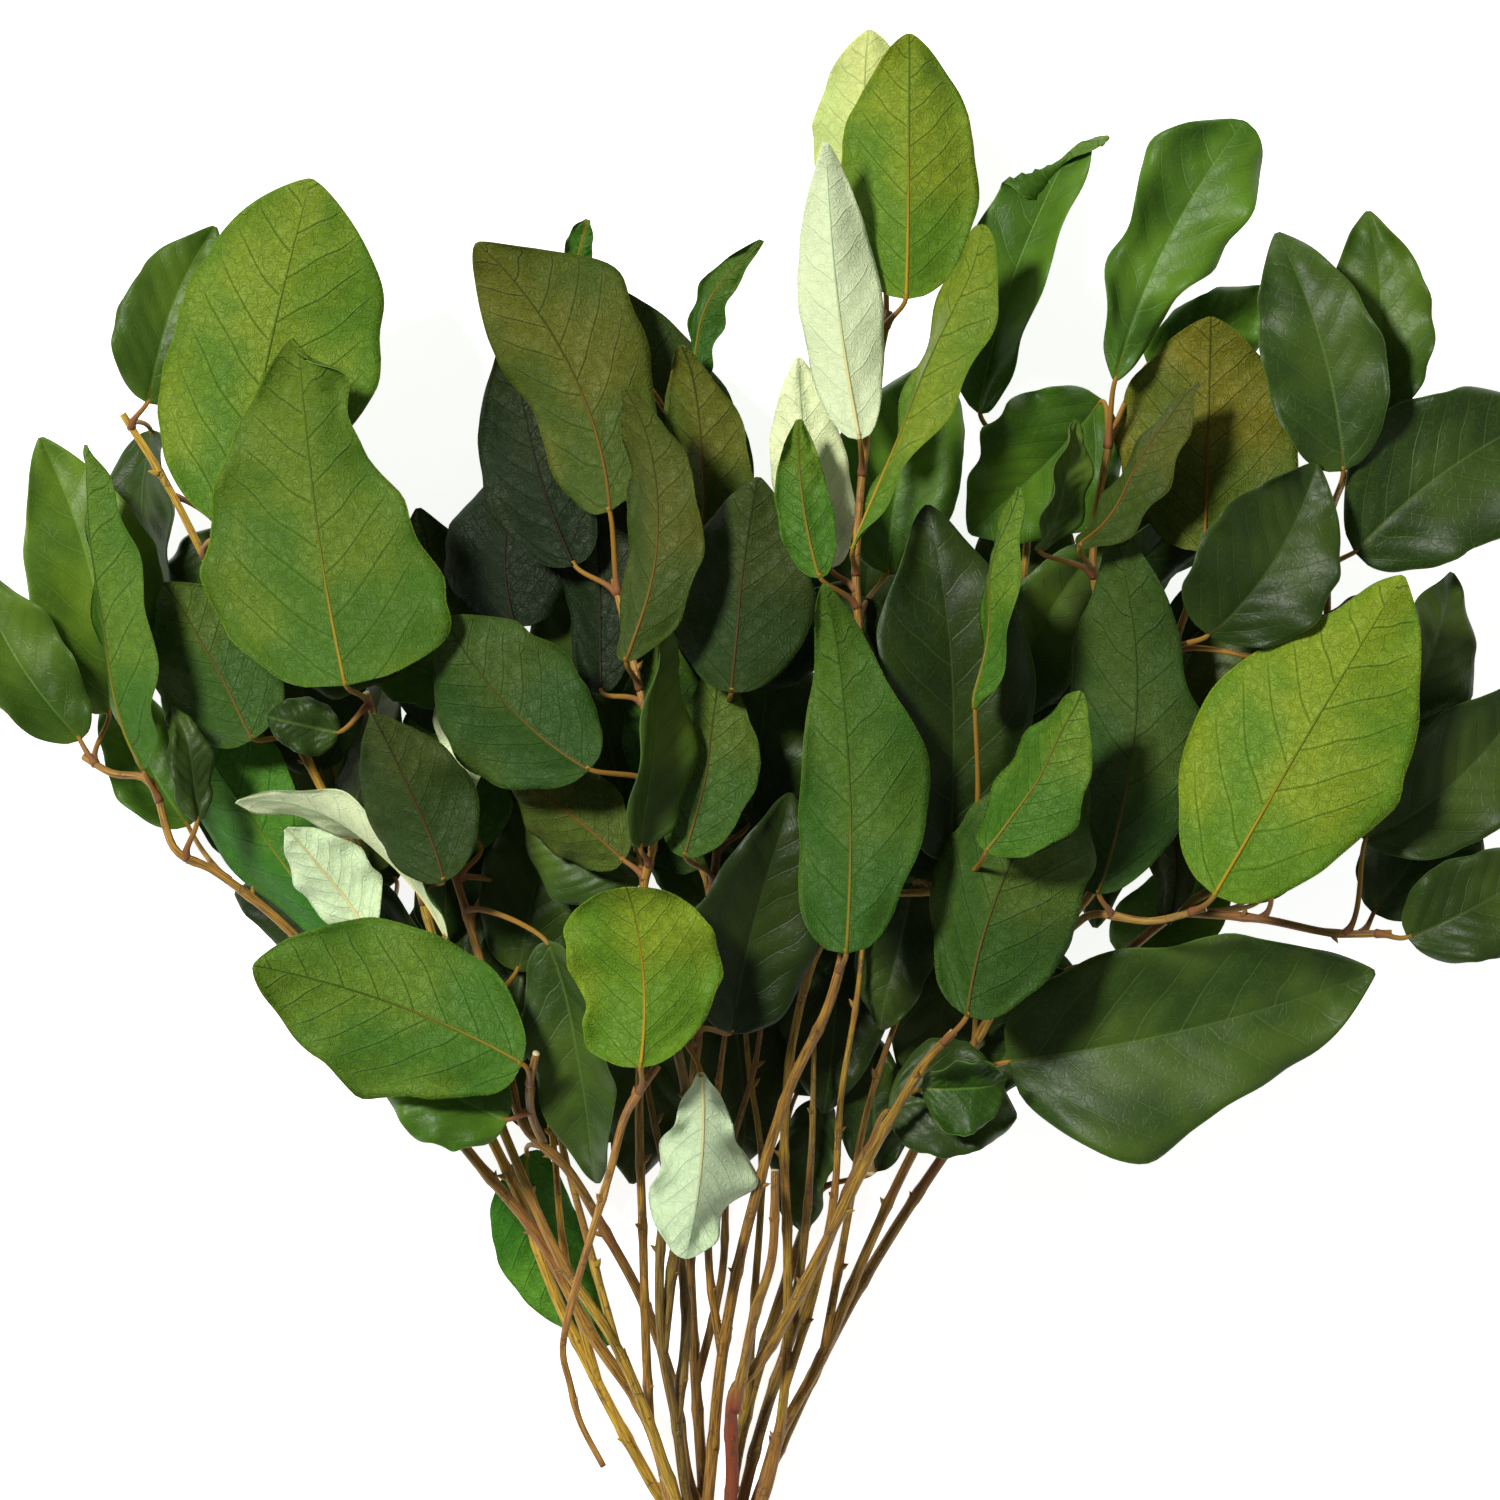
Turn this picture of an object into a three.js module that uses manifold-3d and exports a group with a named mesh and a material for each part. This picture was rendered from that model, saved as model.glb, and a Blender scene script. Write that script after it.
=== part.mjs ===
// A florist's bunch of salal stems (lemon leaf), laid down on its back.
// Millimetres, +Z up. The stems are gathered by a rubber band at x = 0, y = 0 and fan out
// towards +Y. Their cut ends lie towards -Y. Each leaf is listed under the stem that bears it.
import * as THREE from "three";
import { mergeVertices } from "three/addons/utils/BufferGeometryUtils.js";
import Module from "manifold-3d";

const LEAF_THICKNESS = 0.6;
const LEAF_ROWS = 8; // cells along a blade
const LEAF_COLUMNS = 4; // cells across a blade
const LEAF_END = 0.8; // half-width of a blade where it meets its stalk, and at its tip
const STALK_RADIUS = 1.0;
const STALK_GAP = 0.5; // between a stalk and its blade
const STALK_REACH = 9; // how far behind a blade its stalk looks for the stem
const STALK_SIDES = 5;
const STALK_STEPS = 3;
const STALK_LEAD = 0.4; // share of a stalk that runs straight on from the midrib
const LONG_STALK = 25; // a stalk longer than this takes one step more
const STEM_SIDES = 6;
const STEM_STEP = 22; // length of one straight piece of a stem
const TWIG_SWELL = 1.3; // a twig's foot, against the end of the stem that bears it
const END_TAPER = 3; // how quickly a blade's fold and lobes grow from its ends
const WELD = 1e-4; // vertices nearer than this are one
const BAND_WALL = 1.1;
const BAND_WIDTH = 7;
const BAND_SEGMENTS = 28;
const BUNDLE_HALF = { x: 16.5, z: 9.6 }; // half-axes of the gathered stems inside the band
const BUNDLE_HEIGHT = BUNDLE_HALF.z + BAND_WALL;
const UP = new THREE.Vector3(0, 0, 1);
const FINISH = {
  band: { color: "#c8a676", roughness: 0.7 },
  underside: { color: "#728f2a", roughness: 0.5 },
  upper: { color: "#2f5426", roughness: 0.45 },
};
const BARK_ROUGHNESS = 0.65;
const LEFT = 1;
const RIGHT = -1;
const LOBE_SPREAD = 0.13; // of a swelling or hollow in a margin, as a share of the blade's length

// Blade outlines u ** a * (1 - u ** k) ** b, as [a, k, b]: b near 1 draws the tip to a point.
const FORMS = {
  ovate: [0.50, 1.60, 0.92],
  egg: [0.40, 1.35, 0.88],
  broad: [0.48, 1.90, 0.82],
  spoon: [0.80, 2.20, 0.62],
  lance: [0.62, 1.20, 1.00],
  round: [0.50, 1.60, 0.50],
};

const wasm = await Module();
wasm.setup();

// ---- the bunch: stems, each with its course and the leaves it bears --------------------------
// leaf(name, base, tip, width, roll, fold, cup, arch, bend, twist, form, lobes)
// roll turns the blade about its midrib (0 shows the upper face, 180 the underside), fold and
// cup lift its two halves, arch bows the midrib, bend bows it to the left, in degrees and mm.
// A lobe is [side, share of the length, mm outwards], its side as seen from above, looking from
// the blade's base to its tip.
const leaf = (name, base, tip, width, roll, fold, cup, arch, bend, twist, form = "ovate", lobes = []) =>
  ({ name, base, tip, width, roll, fold, cup, arch, bend, twist, form, lobes });

const STEMS = [
  {
    name: "stem_1", foot: 2.4, end: 1.1, bark: "#8a6a2c",
    path: [[-21, -118, 9], [-12, 0, 10.7], [-15, 20, 11], [-22, 42, 15], [-38, 67, 24],
      [-54, 97, 34], [-74, 122, 42], [-100, 156, 52], [-127, 190, 66], [-150, 209, 76],
      [-161, 215, 80], [-169, 236, 82], [-180, 238, 80], [-189, 243, 76]],
    twigs: [[[-20, 38, 14], [-21, 60, 28], [-22, 100, 44], [-23, 133, 54], [-22, 170, 70],
      [-21, 205, 84], [-18, 218, 90], [-17, 240, 94], [-22, 262, 94], [-30, 296, 86]]],
    leaves: [
      leaf("left_leaf_1", [-190, 248, 76], [-222, 300, 72], 31, 10, 22, 10, 4, 4, 0),
      leaf("left_leaf_2", [-182, 256, 60], [-203, 339, 64], 42, 12, 10, 10, 5, -4, 0),
      leaf("left_leaf_3", [-170, 239, 88], [-185, 336, 96], 38, 124, 18, 20, 4, 9, 15, "lance"),
      leaf("left_leaf_4", [-113, 190, 60], [-166, 268, 62], 38, 156, 8, 15, 5, 5, 0, "ovate",
        [[RIGHT, 0.39, -4]]),
      leaf("middle_leaf_1", [-22, 216, 97], [-14, 284, 100], 34, 62, 10, 15, 3, 2, 15),
      leaf("middle_leaf_2", [-26, 271, 112], [-25, 352, 114], 29, 150, 18, 20, 4, -7, -10, "broad"),
      leaf("middle_leaf_3", [-31, 316, 94], [-70, 396, 92], 46, 170, 10, 15, 6, -7, 0, "broad",
        [[RIGHT, 0.74, 8], [LEFT, 0.45, -5]]),
      leaf("middle_leaf_4", [-37, 239, 106], [-80, 284, 98], 44, 172, 6, 8, 5, 5, 0, "broad"),
    ],
  },
  {
    name: "stem_2", foot: 2.1, end: 1.1, bark: "#b89c46",
    path: [[-17, -104, 2.2], [-9, 0, 5.4], [-20, 20, 5.5], [-36, 50, 8], [-50, 80, 13],
      [-60, 108, 20], [-80, 150, 32], [-98, 190, 42], [-120, 235, 46], [-143, 280, 54],
      [-165, 325, 62], [-178, 346, 66]],
    twigs: [],
    leaves: [
      leaf("left_leaf_5", [-170, 349, 72], [-150, 402, 72], 33, 14, 10, 10, 4, 4, 0),
      leaf("left_leaf_6", [-143, 311, 90], [-120, 415, 92], 67, 176, 6, 10, 6, 2, 0, "broad",
        [[RIGHT, 0.28, -4]]),
      leaf("left_leaf_7", [-138, 248, 80], [-165, 295, 76], 44, 165, 10, 12, 4, 0, 0),
      leaf("rest_leaf_1", [-98, 205, 4.4], [-168, 262, 0.4], 52, 8, 4, 8, 3, 4, 0),
    ],
  },
  {
    name: "stem_3", foot: 2, end: 1.1, bark: "#a98f3c",
    path: [[-16, -112, 15], [-9, 0, 15.6], [-17, 30, 21], [-30, 63, 30], [-48, 92, 38],
      [-62, 124, 42], [-76, 160, 50], [-90, 205, 53], [-98, 240, 66], [-104, 262, 84]],
    twigs: [],
    leaves: [
      leaf("left_leaf_8", [-109, 264, 110], [-123, 368, 108], 70, 174, 7, 12, 7, 3, 0, "egg",
        [[RIGHT, 0.68, -11], [RIGHT, 0.5, -7], [RIGHT, 0.12, 5], [LEFT, 0.12, -3]]),
      leaf("left_leaf_9", [-80, 189, 74], [-142, 231, 85], 30, 112, 12, 15, 5, -6, 45),
    ],
  },
  {
    name: "stem_4", foot: 2, end: 1.1, bark: "#7d5231",
    path: [[1, -96, 8.5], [0.5, -30, 10.2], [0, 0, 10.7], [-8, 20, 10.5], [-13, 50, 15],
      [-22, 76, 25], [-33, 98, 40], [-45, 119, 54], [-58, 133, 62], [-64, 160, 60], [-74, 193, 60],
      [-80, 220, 62], [-70, 255, 66], [-62, 276, 68]],
    twigs: [[[-52, 127, 59], [-55, 136, 74], [-55, 146, 88], [-53, 155, 98]]],
    leaves: [
      leaf("low_leaf_1", [-57, 152, 98], [-137, 181, 92], 52, 178, 6, 10, 6, -3, 0, "broad",
        [[LEFT, 0.5, 3], [RIGHT, 0.42, -4]]),
      leaf("low_leaf_2", [-58, 122, 19], [-33, 62, 4], 30, 176, 5, 10, 3, -7, 0),
      leaf("low_leaf_3", [-50, 188, 84], [-37, 113, 63], 28, 24, 12, 12, 5, 5, 0),
      leaf("middle_leaf_5", [-60, 282, 65], [-56, 334, 62], 42, 165, 8, 12, 4, 6, 0),
    ],
  },
  {
    name: "stem_5", foot: 1, end: 1.3, bark: "#9c6a44",
    path: [[-34, 28, 44], [-41, 42, 48], [-44, 54, 52], [-46, 64, 56], [-42, 83, 62],
      [-36, 103, 68], [-31, 120, 74], [-27, 135, 82], [-22, 144, 92], [-17, 151, 90]],
    twigs: [],
    leaves: [
      leaf("low_leaf_4", [-22, 151, 106], [-26, 205, 110], 46, 180, 3, 8, 4, -3, 0, "round",
        [[LEFT, 0.35, -3], [LEFT, 0.1, 3]]),
    ],
  },
  {
    name: "stem_6", foot: 1.9, end: 1.4, bark: "#8f7c3a",
    path: [[-11, -125, 8], [-6, 0, 10.7], [-9.5, 20, 18], [-12, 40, 27], [-16, 62, 38],
      [-17, 85, 46], [-15, 116, 56]],
    twigs: [[[-16, 62, 38], [-14, 80, 42], [-10, 110, 54], [-8, 136, 64], [-12, 158, 74],
      [-17, 180, 78]]],
    leaves: [
      leaf("low_leaf_5", [-4, 149, 84], [-9, 93, 78], 30, 172, 26, 15, 4, 3, -30, "spoon",
        [[LEFT, 0.6, 8]]),
    ],
  },
  {
    name: "stem_7", foot: 2, end: 1.1, bark: "#8a7431",
    path: [[-5, -107, 2.1], [-3, 0, 4.6], [-4, 20, 5], [-6, 50, 10], [-8, 95, 24], [-7, 140, 38],
      [-2, 190, 56], [2, 230, 70], [4, 262, 78], [2, 300, 76], [-4, 330, 72]],
    twigs: [],
    leaves: [
      leaf("middle_leaf_6", [5, 262, 101], [13, 326, 98], 42, 168, 10, 12, 5, 2, 0),
      leaf("middle_leaf_7", [5, 160, 74], [23, 232, 84], 42, 22, 10, 12, 5, 3, 0),
      leaf("rest_leaf_2", [46, 268, 4.4], [60, 358, 0.4], 48, 6, 4, 8, 3, 5, 0),
    ],
  },
  {
    name: "stem_8", foot: 2.1, end: 1.1, bark: "#8c6b33",
    path: [[-4, -121, 14], [-3.5, 0, 16.4], [-1, 30, 20], [2, 60, 34], [9, 98, 54], [22, 143, 76],
      [33, 167, 92], [37, 180, 98], [42, 205, 92], [45, 240, 90], [43, 280, 90], [42, 300, 92],
      [46, 345, 86], [52, 376, 84]],
    twigs: [],
    leaves: [
      leaf("middle_leaf_8", [39, 185, 112], [33, 294, 116], 37, 172, 8, 12, 6, -3, 0, "egg",
        [[RIGHT, 0.55, 7], [RIGHT, 0.28, 3], [LEFT, 0.22, -3], [LEFT, 0.5, -3], [LEFT, 0.78, -3]]),
      leaf("top_leaf_1", [41, 304, 110], [82, 399, 108], 28, 122, 16, 15, 5, 5, 40, "spoon"),
      leaf("top_leaf_2", [43, 337, 104], [33, 425, 102], 27, 174, 18, 14, 4, 2, 0),
      leaf("top_leaf_3", [57, 379, 94], [58, 458, 90], 45, 176, 16, 10, 5, 0, 0, "broad"),
      leaf("top_leaf_4", [50, 398, 76], [46, 461, 72], 34, 172, 8, 12, 3, 3, 0, "broad"),
      leaf("top_leaf_6", [52, 298, 58], [66, 363, 54], 42, 0, 8, 12, 4, 3, 0),
    ],
  },
  {
    name: "stem_9", foot: 2.7, end: 1.3, bark: "#93412e",
    path: [[4, -116, 15], [3, 0, 16.4], [5, 20, 20], [6, 50, 34], [12, 57, 38], [22, 74, 46],
      [34, 98, 58], [50, 130, 74], [63, 152, 86], [71, 161, 92]],
    twigs: [[[6, 44, 32], [9, 60, 44], [12, 75, 54], [17, 92, 62], [18, 119, 68]]],
    leaves: [
      leaf("right_leaf_1", [75, 166, 98], [107, 243, 114], 50, 166, 18, 12, 5, 7, 0),
    ],
  },
  {
    name: "stem_10", foot: 1.9, end: 1.1, bark: "#8a7230",
    path: [[13, -101, 14.5], [9, 0, 15.9], [16, 20, 18], [21, 50, 26], [22, 90, 36], [21, 128, 44],
      [24, 160, 52], [34, 190, 66], [50, 201, 72], [66, 203, 78], [77, 208, 82]],
    twigs: [],
    leaves: [
      leaf("right_leaf_2", [70, 212, 82], [63, 318, 92], 46, 12, 8, 12, 6, -3, 0, "broad"),
    ],
  },
  {
    name: "stem_11", foot: 2.2, end: 1.1, bark: "#85633a",
    path: [[19, -112, 9], [12, 0, 10.7], [17, 28, 10.5], [33, 60, 13], [45, 89, 18], [58, 118, 26],
      [74, 148, 40], [92, 178, 60], [107, 192, 78], [113, 196, 84], [130, 194, 90], [146, 198, 94]],
    twigs: [[[92, 178, 60], [118, 210, 62], [124, 250, 68], [113, 300, 79], [118, 340, 84]],
      [[123, 240, 66.5], [132, 262, 75], [143, 292, 78]]],
    leaves: [
      leaf("right_leaf_3", [114, 202, 92], [118, 312, 97], 44, 165, 12, 15, 6, -8, 0, "ovate",
        [[LEFT, 0.62, 4], [RIGHT, 0.62, -6]]),
      leaf("right_leaf_4", [148, 202, 106], [204, 296, 112], 62, 167, 6, 10, 6, 2, 0, "ovate",
        [[RIGHT, 0.5, 4], [LEFT, 0.8, -3]]),
      leaf("right_leaf_5", [147, 279, 92], [179, 330, 98], 45, 4, 10, 12, 5, -4, 0),
      leaf("right_leaf_6", [146, 304, 86], [148, 374, 86], 56, 176, 6, 8, 3, 0, 0, "broad"),
      leaf("top_leaf_5", [119, 355, 92], [158, 432, 90], 36, 4, 10, 15, 5, 5, -15, "spoon",
        [[RIGHT, 0.32, -4], [LEFT, 0.52, -4], [LEFT, 0.8, 3]]),
    ],
  },
  {
    name: "stem_12", foot: 2.3, end: 1.3, bark: "#8d7136",
    path: [[8, -124, 8.5], [6.6, -30, 10.2], [6, 0, 10.7], [12, 30, 12], [21, 60, 22], [34, 95, 36],
      [46, 124, 48], [62, 142, 48], [80, 149, 50]],
    twigs: [[[46, 124, 48], [47, 117, 52]]],
    leaves: [
      leaf("low_leaf_6", [52, 137, 64], [91, 135, 60], 38, -14, 8, 12, 4, 3, 0),
      leaf("low_leaf_7", [88, 151, 58], [199, 178, 54], 60, 2, 10, 10, 7, -3, 0, "egg",
        [[RIGHT, 0.27, 5], [RIGHT, 0.62, -4], [LEFT, 0.62, 2]]),
    ],
  },
  {
    name: "stem_13", foot: 2.2, end: 1.1, bark: "#7f6a33",
    path: [[3, -99, 2.3], [3, 0, 4.6], [9, 40, 5], [28, 100, 10], [50, 160, 18], [72, 215, 30],
      [88, 270, 46], [94, 310, 58], [90, 335, 64]],
    twigs: [],
    leaves: [
      leaf("top_leaf_7", [79, 346, 72], [116, 440, 75], 33, -22, 24, 15, 4, 4, 10, "ovate",
        [[RIGHT, 0.5, -2]]),
      leaf("rest_leaf_3", [92, 232, 4.4], [170, 292, 0.4], 54, 8, 4, 8, 3, -4, 0),
    ],
  },
  {
    name: "stem_14", foot: 2.2, end: 1.1, bark: "#7a5a36",
    path: [[12, -108, 2.3], [9, 0, 5.6], [24, 40, 6], [50, 90, 10], [92, 150, 22], [140, 196, 40],
      [170, 214, 56], [188, 240, 62], [184, 280, 68], [184, 318, 72]],
    twigs: [[[140, 196, 40], [165, 194, 54], [186, 190, 66], [203, 190, 70]]],
    leaves: [
      leaf("right_leaf_7", [187, 328, 94], [167, 399, 94], 39, -6, 10, 12, 4, -4, 0),
      leaf("right_leaf_8", [196, 342, 80], [195, 406, 82], 36, -10, 10, 12, 4, -4, 0),
      leaf("right_leaf_9", [191, 304, 84], [250, 346, 80], 52, 0, 8, 10, 5, 4, 0, "broad"),
      leaf("right_leaf_10", [194, 218, 80], [246, 267, 76], 38, 10, 10, 12, 4, -5, 0),
      leaf("right_leaf_11", [207, 189, 80], [249, 214, 78], 34, -8, 10, 12, 4, -3, 0),
    ],
  },
];

// ---- solids ----------------------------------------------------------------------------------

function bareGeometry(geometry) {
  geometry.deleteAttribute("normal");
  geometry.deleteAttribute("uv");
  return mergeVertices(geometry, WELD);
}

function toSolid(geometry) {
  const bare = bareGeometry(geometry);
  return new wasm.Manifold(new wasm.Mesh({
    numProp: 3,
    vertProperties: new Float32Array(bare.attributes.position.array),
    triVerts: new Uint32Array(bare.index.array),
  }));
}

function toGeometry(solid) {
  const mesh = solid.getMesh();
  const geometry = new THREE.BufferGeometry();
  geometry.setAttribute("position", new THREE.BufferAttribute(mesh.vertProperties, 3));
  geometry.setIndex(new THREE.BufferAttribute(mesh.triVerts, 1));
  geometry.computeVertexNormals();
  return geometry;
}

const smooth = (points) => new THREE.CatmullRomCurve3(points.map((p) => new THREE.Vector3(...p)));
const barSteps = (course) => Math.ceil(smooth(course).getLength() / STEM_STEP);

// A closed round bar along a smooth curve, thinning from one radius to another.
function taperedBar(points, startRadius, endRadius, sides, steps) {
  const curve = smooth(points);
  const frames = curve.computeFrenetFrames(steps);
  const geometry = new THREE.CylinderGeometry(1, 1, 1, sides, steps);
  const position = geometry.attributes.position;
  for (let i = 0; i < position.count; i++) {
    const along = position.getY(i) + 0.5;
    const k = Math.round(along * steps);
    const radius = THREE.MathUtils.lerp(startRadius, endRadius, along);
    const point = curve.getPointAt(k / steps)
      .addScaledVector(frames.binormals[k], position.getX(i) * radius)
      .addScaledVector(frames.normals[k], position.getZ(i) * radius);
    position.setXYZ(i, point.x, point.y, point.z);
  }
  return geometry;
}

// The joints of a stem's bars, without the free ends, from which a stalk can spring.
function stationPoints(courses) {
  return courses.flatMap((course) => smooth(course).getSpacedPoints(barSteps(course)).slice(1, -1));
}

function nearestBehind(courses, start, along) {
  const target = start.clone().addScaledVector(along, -STALK_REACH);
  const points = stationPoints(courses);
  const behind = points.filter((p) => p.clone().sub(start).dot(along) < -STALK_REACH / 3);
  const choice = behind.length > 0 ? behind : points;
  return choice.reduce((best, p) => (p.distanceTo(target) < best.distanceTo(target) ? p : best));
}

// A blade's half-width, from 0 at its ends to 1 where it is widest.
function bladeOutline(u, form) {
  const [a, k, b] = FORMS[form];
  const widest = (a / (a + k * b)) ** (1 / k);
  return (u / widest) ** a * (Math.max(0, 1 - u ** k) / (1 - widest ** k)) ** b;
}

// 1 where the upper face of a blade is seen from above, -1 where its underside is.
const seenFace = ({ roll }) => (Math.abs(roll) <= 90 ? 1 : -1);

// What the lobes add to the half-width on one side of the midrib.
function lobeReach(spec, u, v) {
  const near = spec.lobes.filter(([side]) => side * seenFace(spec) * v > 0);
  return near.reduce((sum, [, at, push]) => sum + push * Math.exp(-(((u - at) / LOBE_SPREAD) ** 2)), 0);
}

function bladeFrame({ base, tip, roll }) {
  const start = new THREE.Vector3(...base);
  const span = new THREE.Vector3(...tip).sub(start);
  const along = span.clone().normalize();
  const level = UP.clone().addScaledVector(along, -UP.dot(along)).normalize();
  const left = new THREE.Vector3().crossVectors(level, along);
  const face = level.clone().applyAxisAngle(along, THREE.MathUtils.degToRad(roll));
  return { start, along, length: span.length(), left, face };
}

// A thin closed blade: a box of cells whose points are carried on to the leaf's surface.
function bladeGeometry(spec) {
  const { start, along, length, left, face } = bladeFrame(spec);
  const fold = THREE.MathUtils.degToRad(spec.fold);
  const cup = THREE.MathUtils.degToRad(spec.cup);
  const twist = THREE.MathUtils.degToRad(spec.twist);
  const geometry = new THREE.BoxGeometry(1, 2, 1, LEAF_ROWS, LEAF_COLUMNS, 1);
  const position = geometry.attributes.position;
  for (let i = 0; i < position.count; i++) {
    const even = position.getX(i) + 0.5;
    const u = (even + (1 - Math.cos(Math.PI * even)) / 2) / 2;
    const v = position.getY(i);
    const hump = 4 * u * (1 - u);
    const firm = Math.min(1, END_TAPER * hump);
    const plain = LEAF_END + (spec.width / 2 - LEAF_END) * bladeOutline(u, spec.form);
    const half = plain + lobeReach(spec, u, v) * firm;
    const lift = fold + cup * Math.abs(v);
    const angle = fold + (cup * Math.abs(v)) / 2;
    const across = half * v * Math.cos(angle);
    const rise = half * Math.abs(v) * Math.sin(angle) * firm;
    const skin = position.getZ(i) * LEAF_THICKNESS;
    const turned = face.clone().applyAxisAngle(along, twist * (u - 0.5));
    const side = new THREE.Vector3().crossVectors(turned, along);
    const point = start.clone()
      .addScaledVector(along, length * u)
      .addScaledVector(left, spec.bend * hump)
      .addScaledVector(face, spec.arch * hump)
      .addScaledVector(side, across - Math.sign(v) * Math.sin(lift) * skin)
      .addScaledVector(turned, rise + Math.cos(lift) * skin);
    position.setXYZ(i, point.x, point.y, point.z);
  }
  return geometry;
}

function stalkSolid(courses, spec) {
  const { start, along } = bladeFrame(spec);
  const root = nearestBehind(courses, start, along);
  const end = start.clone().addScaledVector(along, -STALK_GAP);
  const reach = root.distanceTo(end);
  const lead = end.clone().addScaledVector(along, -reach * STALK_LEAD);
  const points = [root, lead, end].map((p) => p.toArray());
  const steps = reach > LONG_STALK ? STALK_STEPS + 1 : STALK_STEPS;
  return toSolid(taperedBar(points, STALK_RADIUS, STALK_RADIUS, STALK_SIDES, steps));
}

function stemGeometry(stem) {
  const courses = [stem.path, ...stem.twigs];
  let solid = toSolid(taperedBar(stem.path, stem.foot, stem.end, STEM_SIDES, barSteps(stem.path)));
  for (const twig of stem.twigs) {
    const foot = stem.end * TWIG_SWELL;
    solid = solid.add(toSolid(taperedBar(twig, foot, stem.end, STEM_SIDES, barSteps(twig))));
  }
  for (const spec of stem.leaves) solid = solid.add(stalkSolid(courses, spec));
  return toGeometry(solid);
}

// A flat elastic ring round the gathered stems, as a ring of revolution squeezed to an oval.
function bandGeometry() {
  const ring = new THREE.LatheGeometry([
    new THREE.Vector2(1, -BAND_WIDTH / 2),
    new THREE.Vector2(1 + BAND_WALL / BUNDLE_HALF.z, -BAND_WIDTH / 2),
    new THREE.Vector2(1 + BAND_WALL / BUNDLE_HALF.z, BAND_WIDTH / 2),
    new THREE.Vector2(1, BAND_WIDTH / 2),
    new THREE.Vector2(1, -BAND_WIDTH / 2),
  ], BAND_SEGMENTS);
  ring.scale(BUNDLE_HALF.x, 1, BUNDLE_HALF.z);
  ring.translate(0, 0, BUNDLE_HEIGHT);
  return bareGeometry(ring);
}

// ---- the assembly ----------------------------------------------------------------------------

const bunch = new THREE.Group();

function place(name, geometry, finish) {
  const material = new THREE.MeshStandardMaterial({ ...finish, metalness: 0 });
  const mesh = new THREE.Mesh(geometry, material);
  mesh.name = name;
  bunch.add(mesh);
}

place("rubber_band", bandGeometry(), FINISH.band);
for (const stem of STEMS) {
  place(stem.name, stemGeometry(stem), { color: stem.bark, roughness: BARK_ROUGHNESS });
  for (const spec of stem.leaves) {
    const finish = seenFace(spec) > 0 ? FINISH.upper : FINISH.underside;
    place(spec.name, bareGeometry(bladeGeometry(spec)), finish);
  }
}

// The origin is under the middle of the whole bunch, on the surface it lies on.
const extent = new THREE.Box3().setFromObject(bunch);
const middle = extent.getCenter(new THREE.Vector3());
bunch.position.set(-middle.x, -middle.y, -extent.min.z);

export default bunch;
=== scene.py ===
"""A florist's bunch of salal stems lying on a pale surface, seen from straight above."""
import math
import random

import bmesh
import bpy
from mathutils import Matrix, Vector, noise
from mathutils.bvhtree import BVHTree


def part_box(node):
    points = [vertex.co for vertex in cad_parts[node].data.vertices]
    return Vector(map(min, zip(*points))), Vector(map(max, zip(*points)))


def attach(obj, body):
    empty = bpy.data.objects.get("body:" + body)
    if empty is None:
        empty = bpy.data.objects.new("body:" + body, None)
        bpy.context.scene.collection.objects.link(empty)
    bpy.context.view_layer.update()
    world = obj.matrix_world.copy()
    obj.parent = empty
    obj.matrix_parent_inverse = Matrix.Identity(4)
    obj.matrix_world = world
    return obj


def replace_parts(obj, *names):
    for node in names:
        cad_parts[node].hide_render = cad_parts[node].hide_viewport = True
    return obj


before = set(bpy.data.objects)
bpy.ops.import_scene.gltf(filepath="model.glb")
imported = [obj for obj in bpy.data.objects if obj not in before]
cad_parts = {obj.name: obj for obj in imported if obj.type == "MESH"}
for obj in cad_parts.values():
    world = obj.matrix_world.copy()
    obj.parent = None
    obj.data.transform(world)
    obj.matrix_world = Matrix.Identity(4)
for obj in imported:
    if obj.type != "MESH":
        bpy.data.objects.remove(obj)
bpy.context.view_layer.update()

MM = 0.001
UP = Vector((0, 0, 1))
BAND_LOW, BAND_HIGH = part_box("rubber_band")
# The gathered stems' middle, on the surface: every course and blade below is measured from it.
WAIST = Vector(((BAND_LOW.x + BAND_HIGH.x) / 2, (BAND_LOW.y + BAND_HIGH.y) / 2, BAND_LOW.z))

# ---- blades ------------------------------------------------------------------------------------
BLADE_ROWS = 48
BLADE_COLUMNS = 26
INNER_ROWS = 26
INNER_COLUMNS = 14
BLADE_THICKNESS = 0.45
BLADE_END = 0.8
RIB_SPACING = 0.128  # between side veins, as a share of the blade's length
RIB_SLANT = 0.75  # how far a side vein climbs, for each mm that it goes across
RIB_SWEEP = 0.40  # and how much further at the margin
RIB_STRAY = 0.15  # how unevenly the side veins are spaced
RIB_LAG = 0.45  # how far one half's side veins lag behind the other's
MARGIN_WANDER = 0.17  # of the half-width, in slow bays
MARGIN_RAGGED = 0.045  # of the half-width, in small nicks
MARGIN_SCALLOP = 0.018  # of the half-width, in even scallops
MARGIN_WAVE = 1.5  # that the margin rises and falls
PILLOW = 0.32  # that the blade swells between two side veins
GROOVE = 0.35  # that the midrib is sunk
SLOW_SWELL = 2.6  # of the whole blade, in slow hills
CURL_FROM, CURL = 0.72, 13  # where on the half-width a margin starts to curl, and how fast
NOD_FROM, NOD = 0.80, 25  # where on the midrib a tip starts to nod, and how fast
RIB_END = 0.93  # how far the raised midrib goes, as a share of the blade
RIB_RADIUS, RIB_TIP = 0.5, 0.08  # what a midrib tapers by, and what is left at its tip
STALK_RADIUS = 0.95
STALK_OVERLAP, STALK_UNDER = 1.5, 0.25  # how far a stalk runs in under its blade, and how low
STALK_REACH = 9
STALK_SWING = 14  # how far before its blade a stalk turns to the blade's own line
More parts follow.
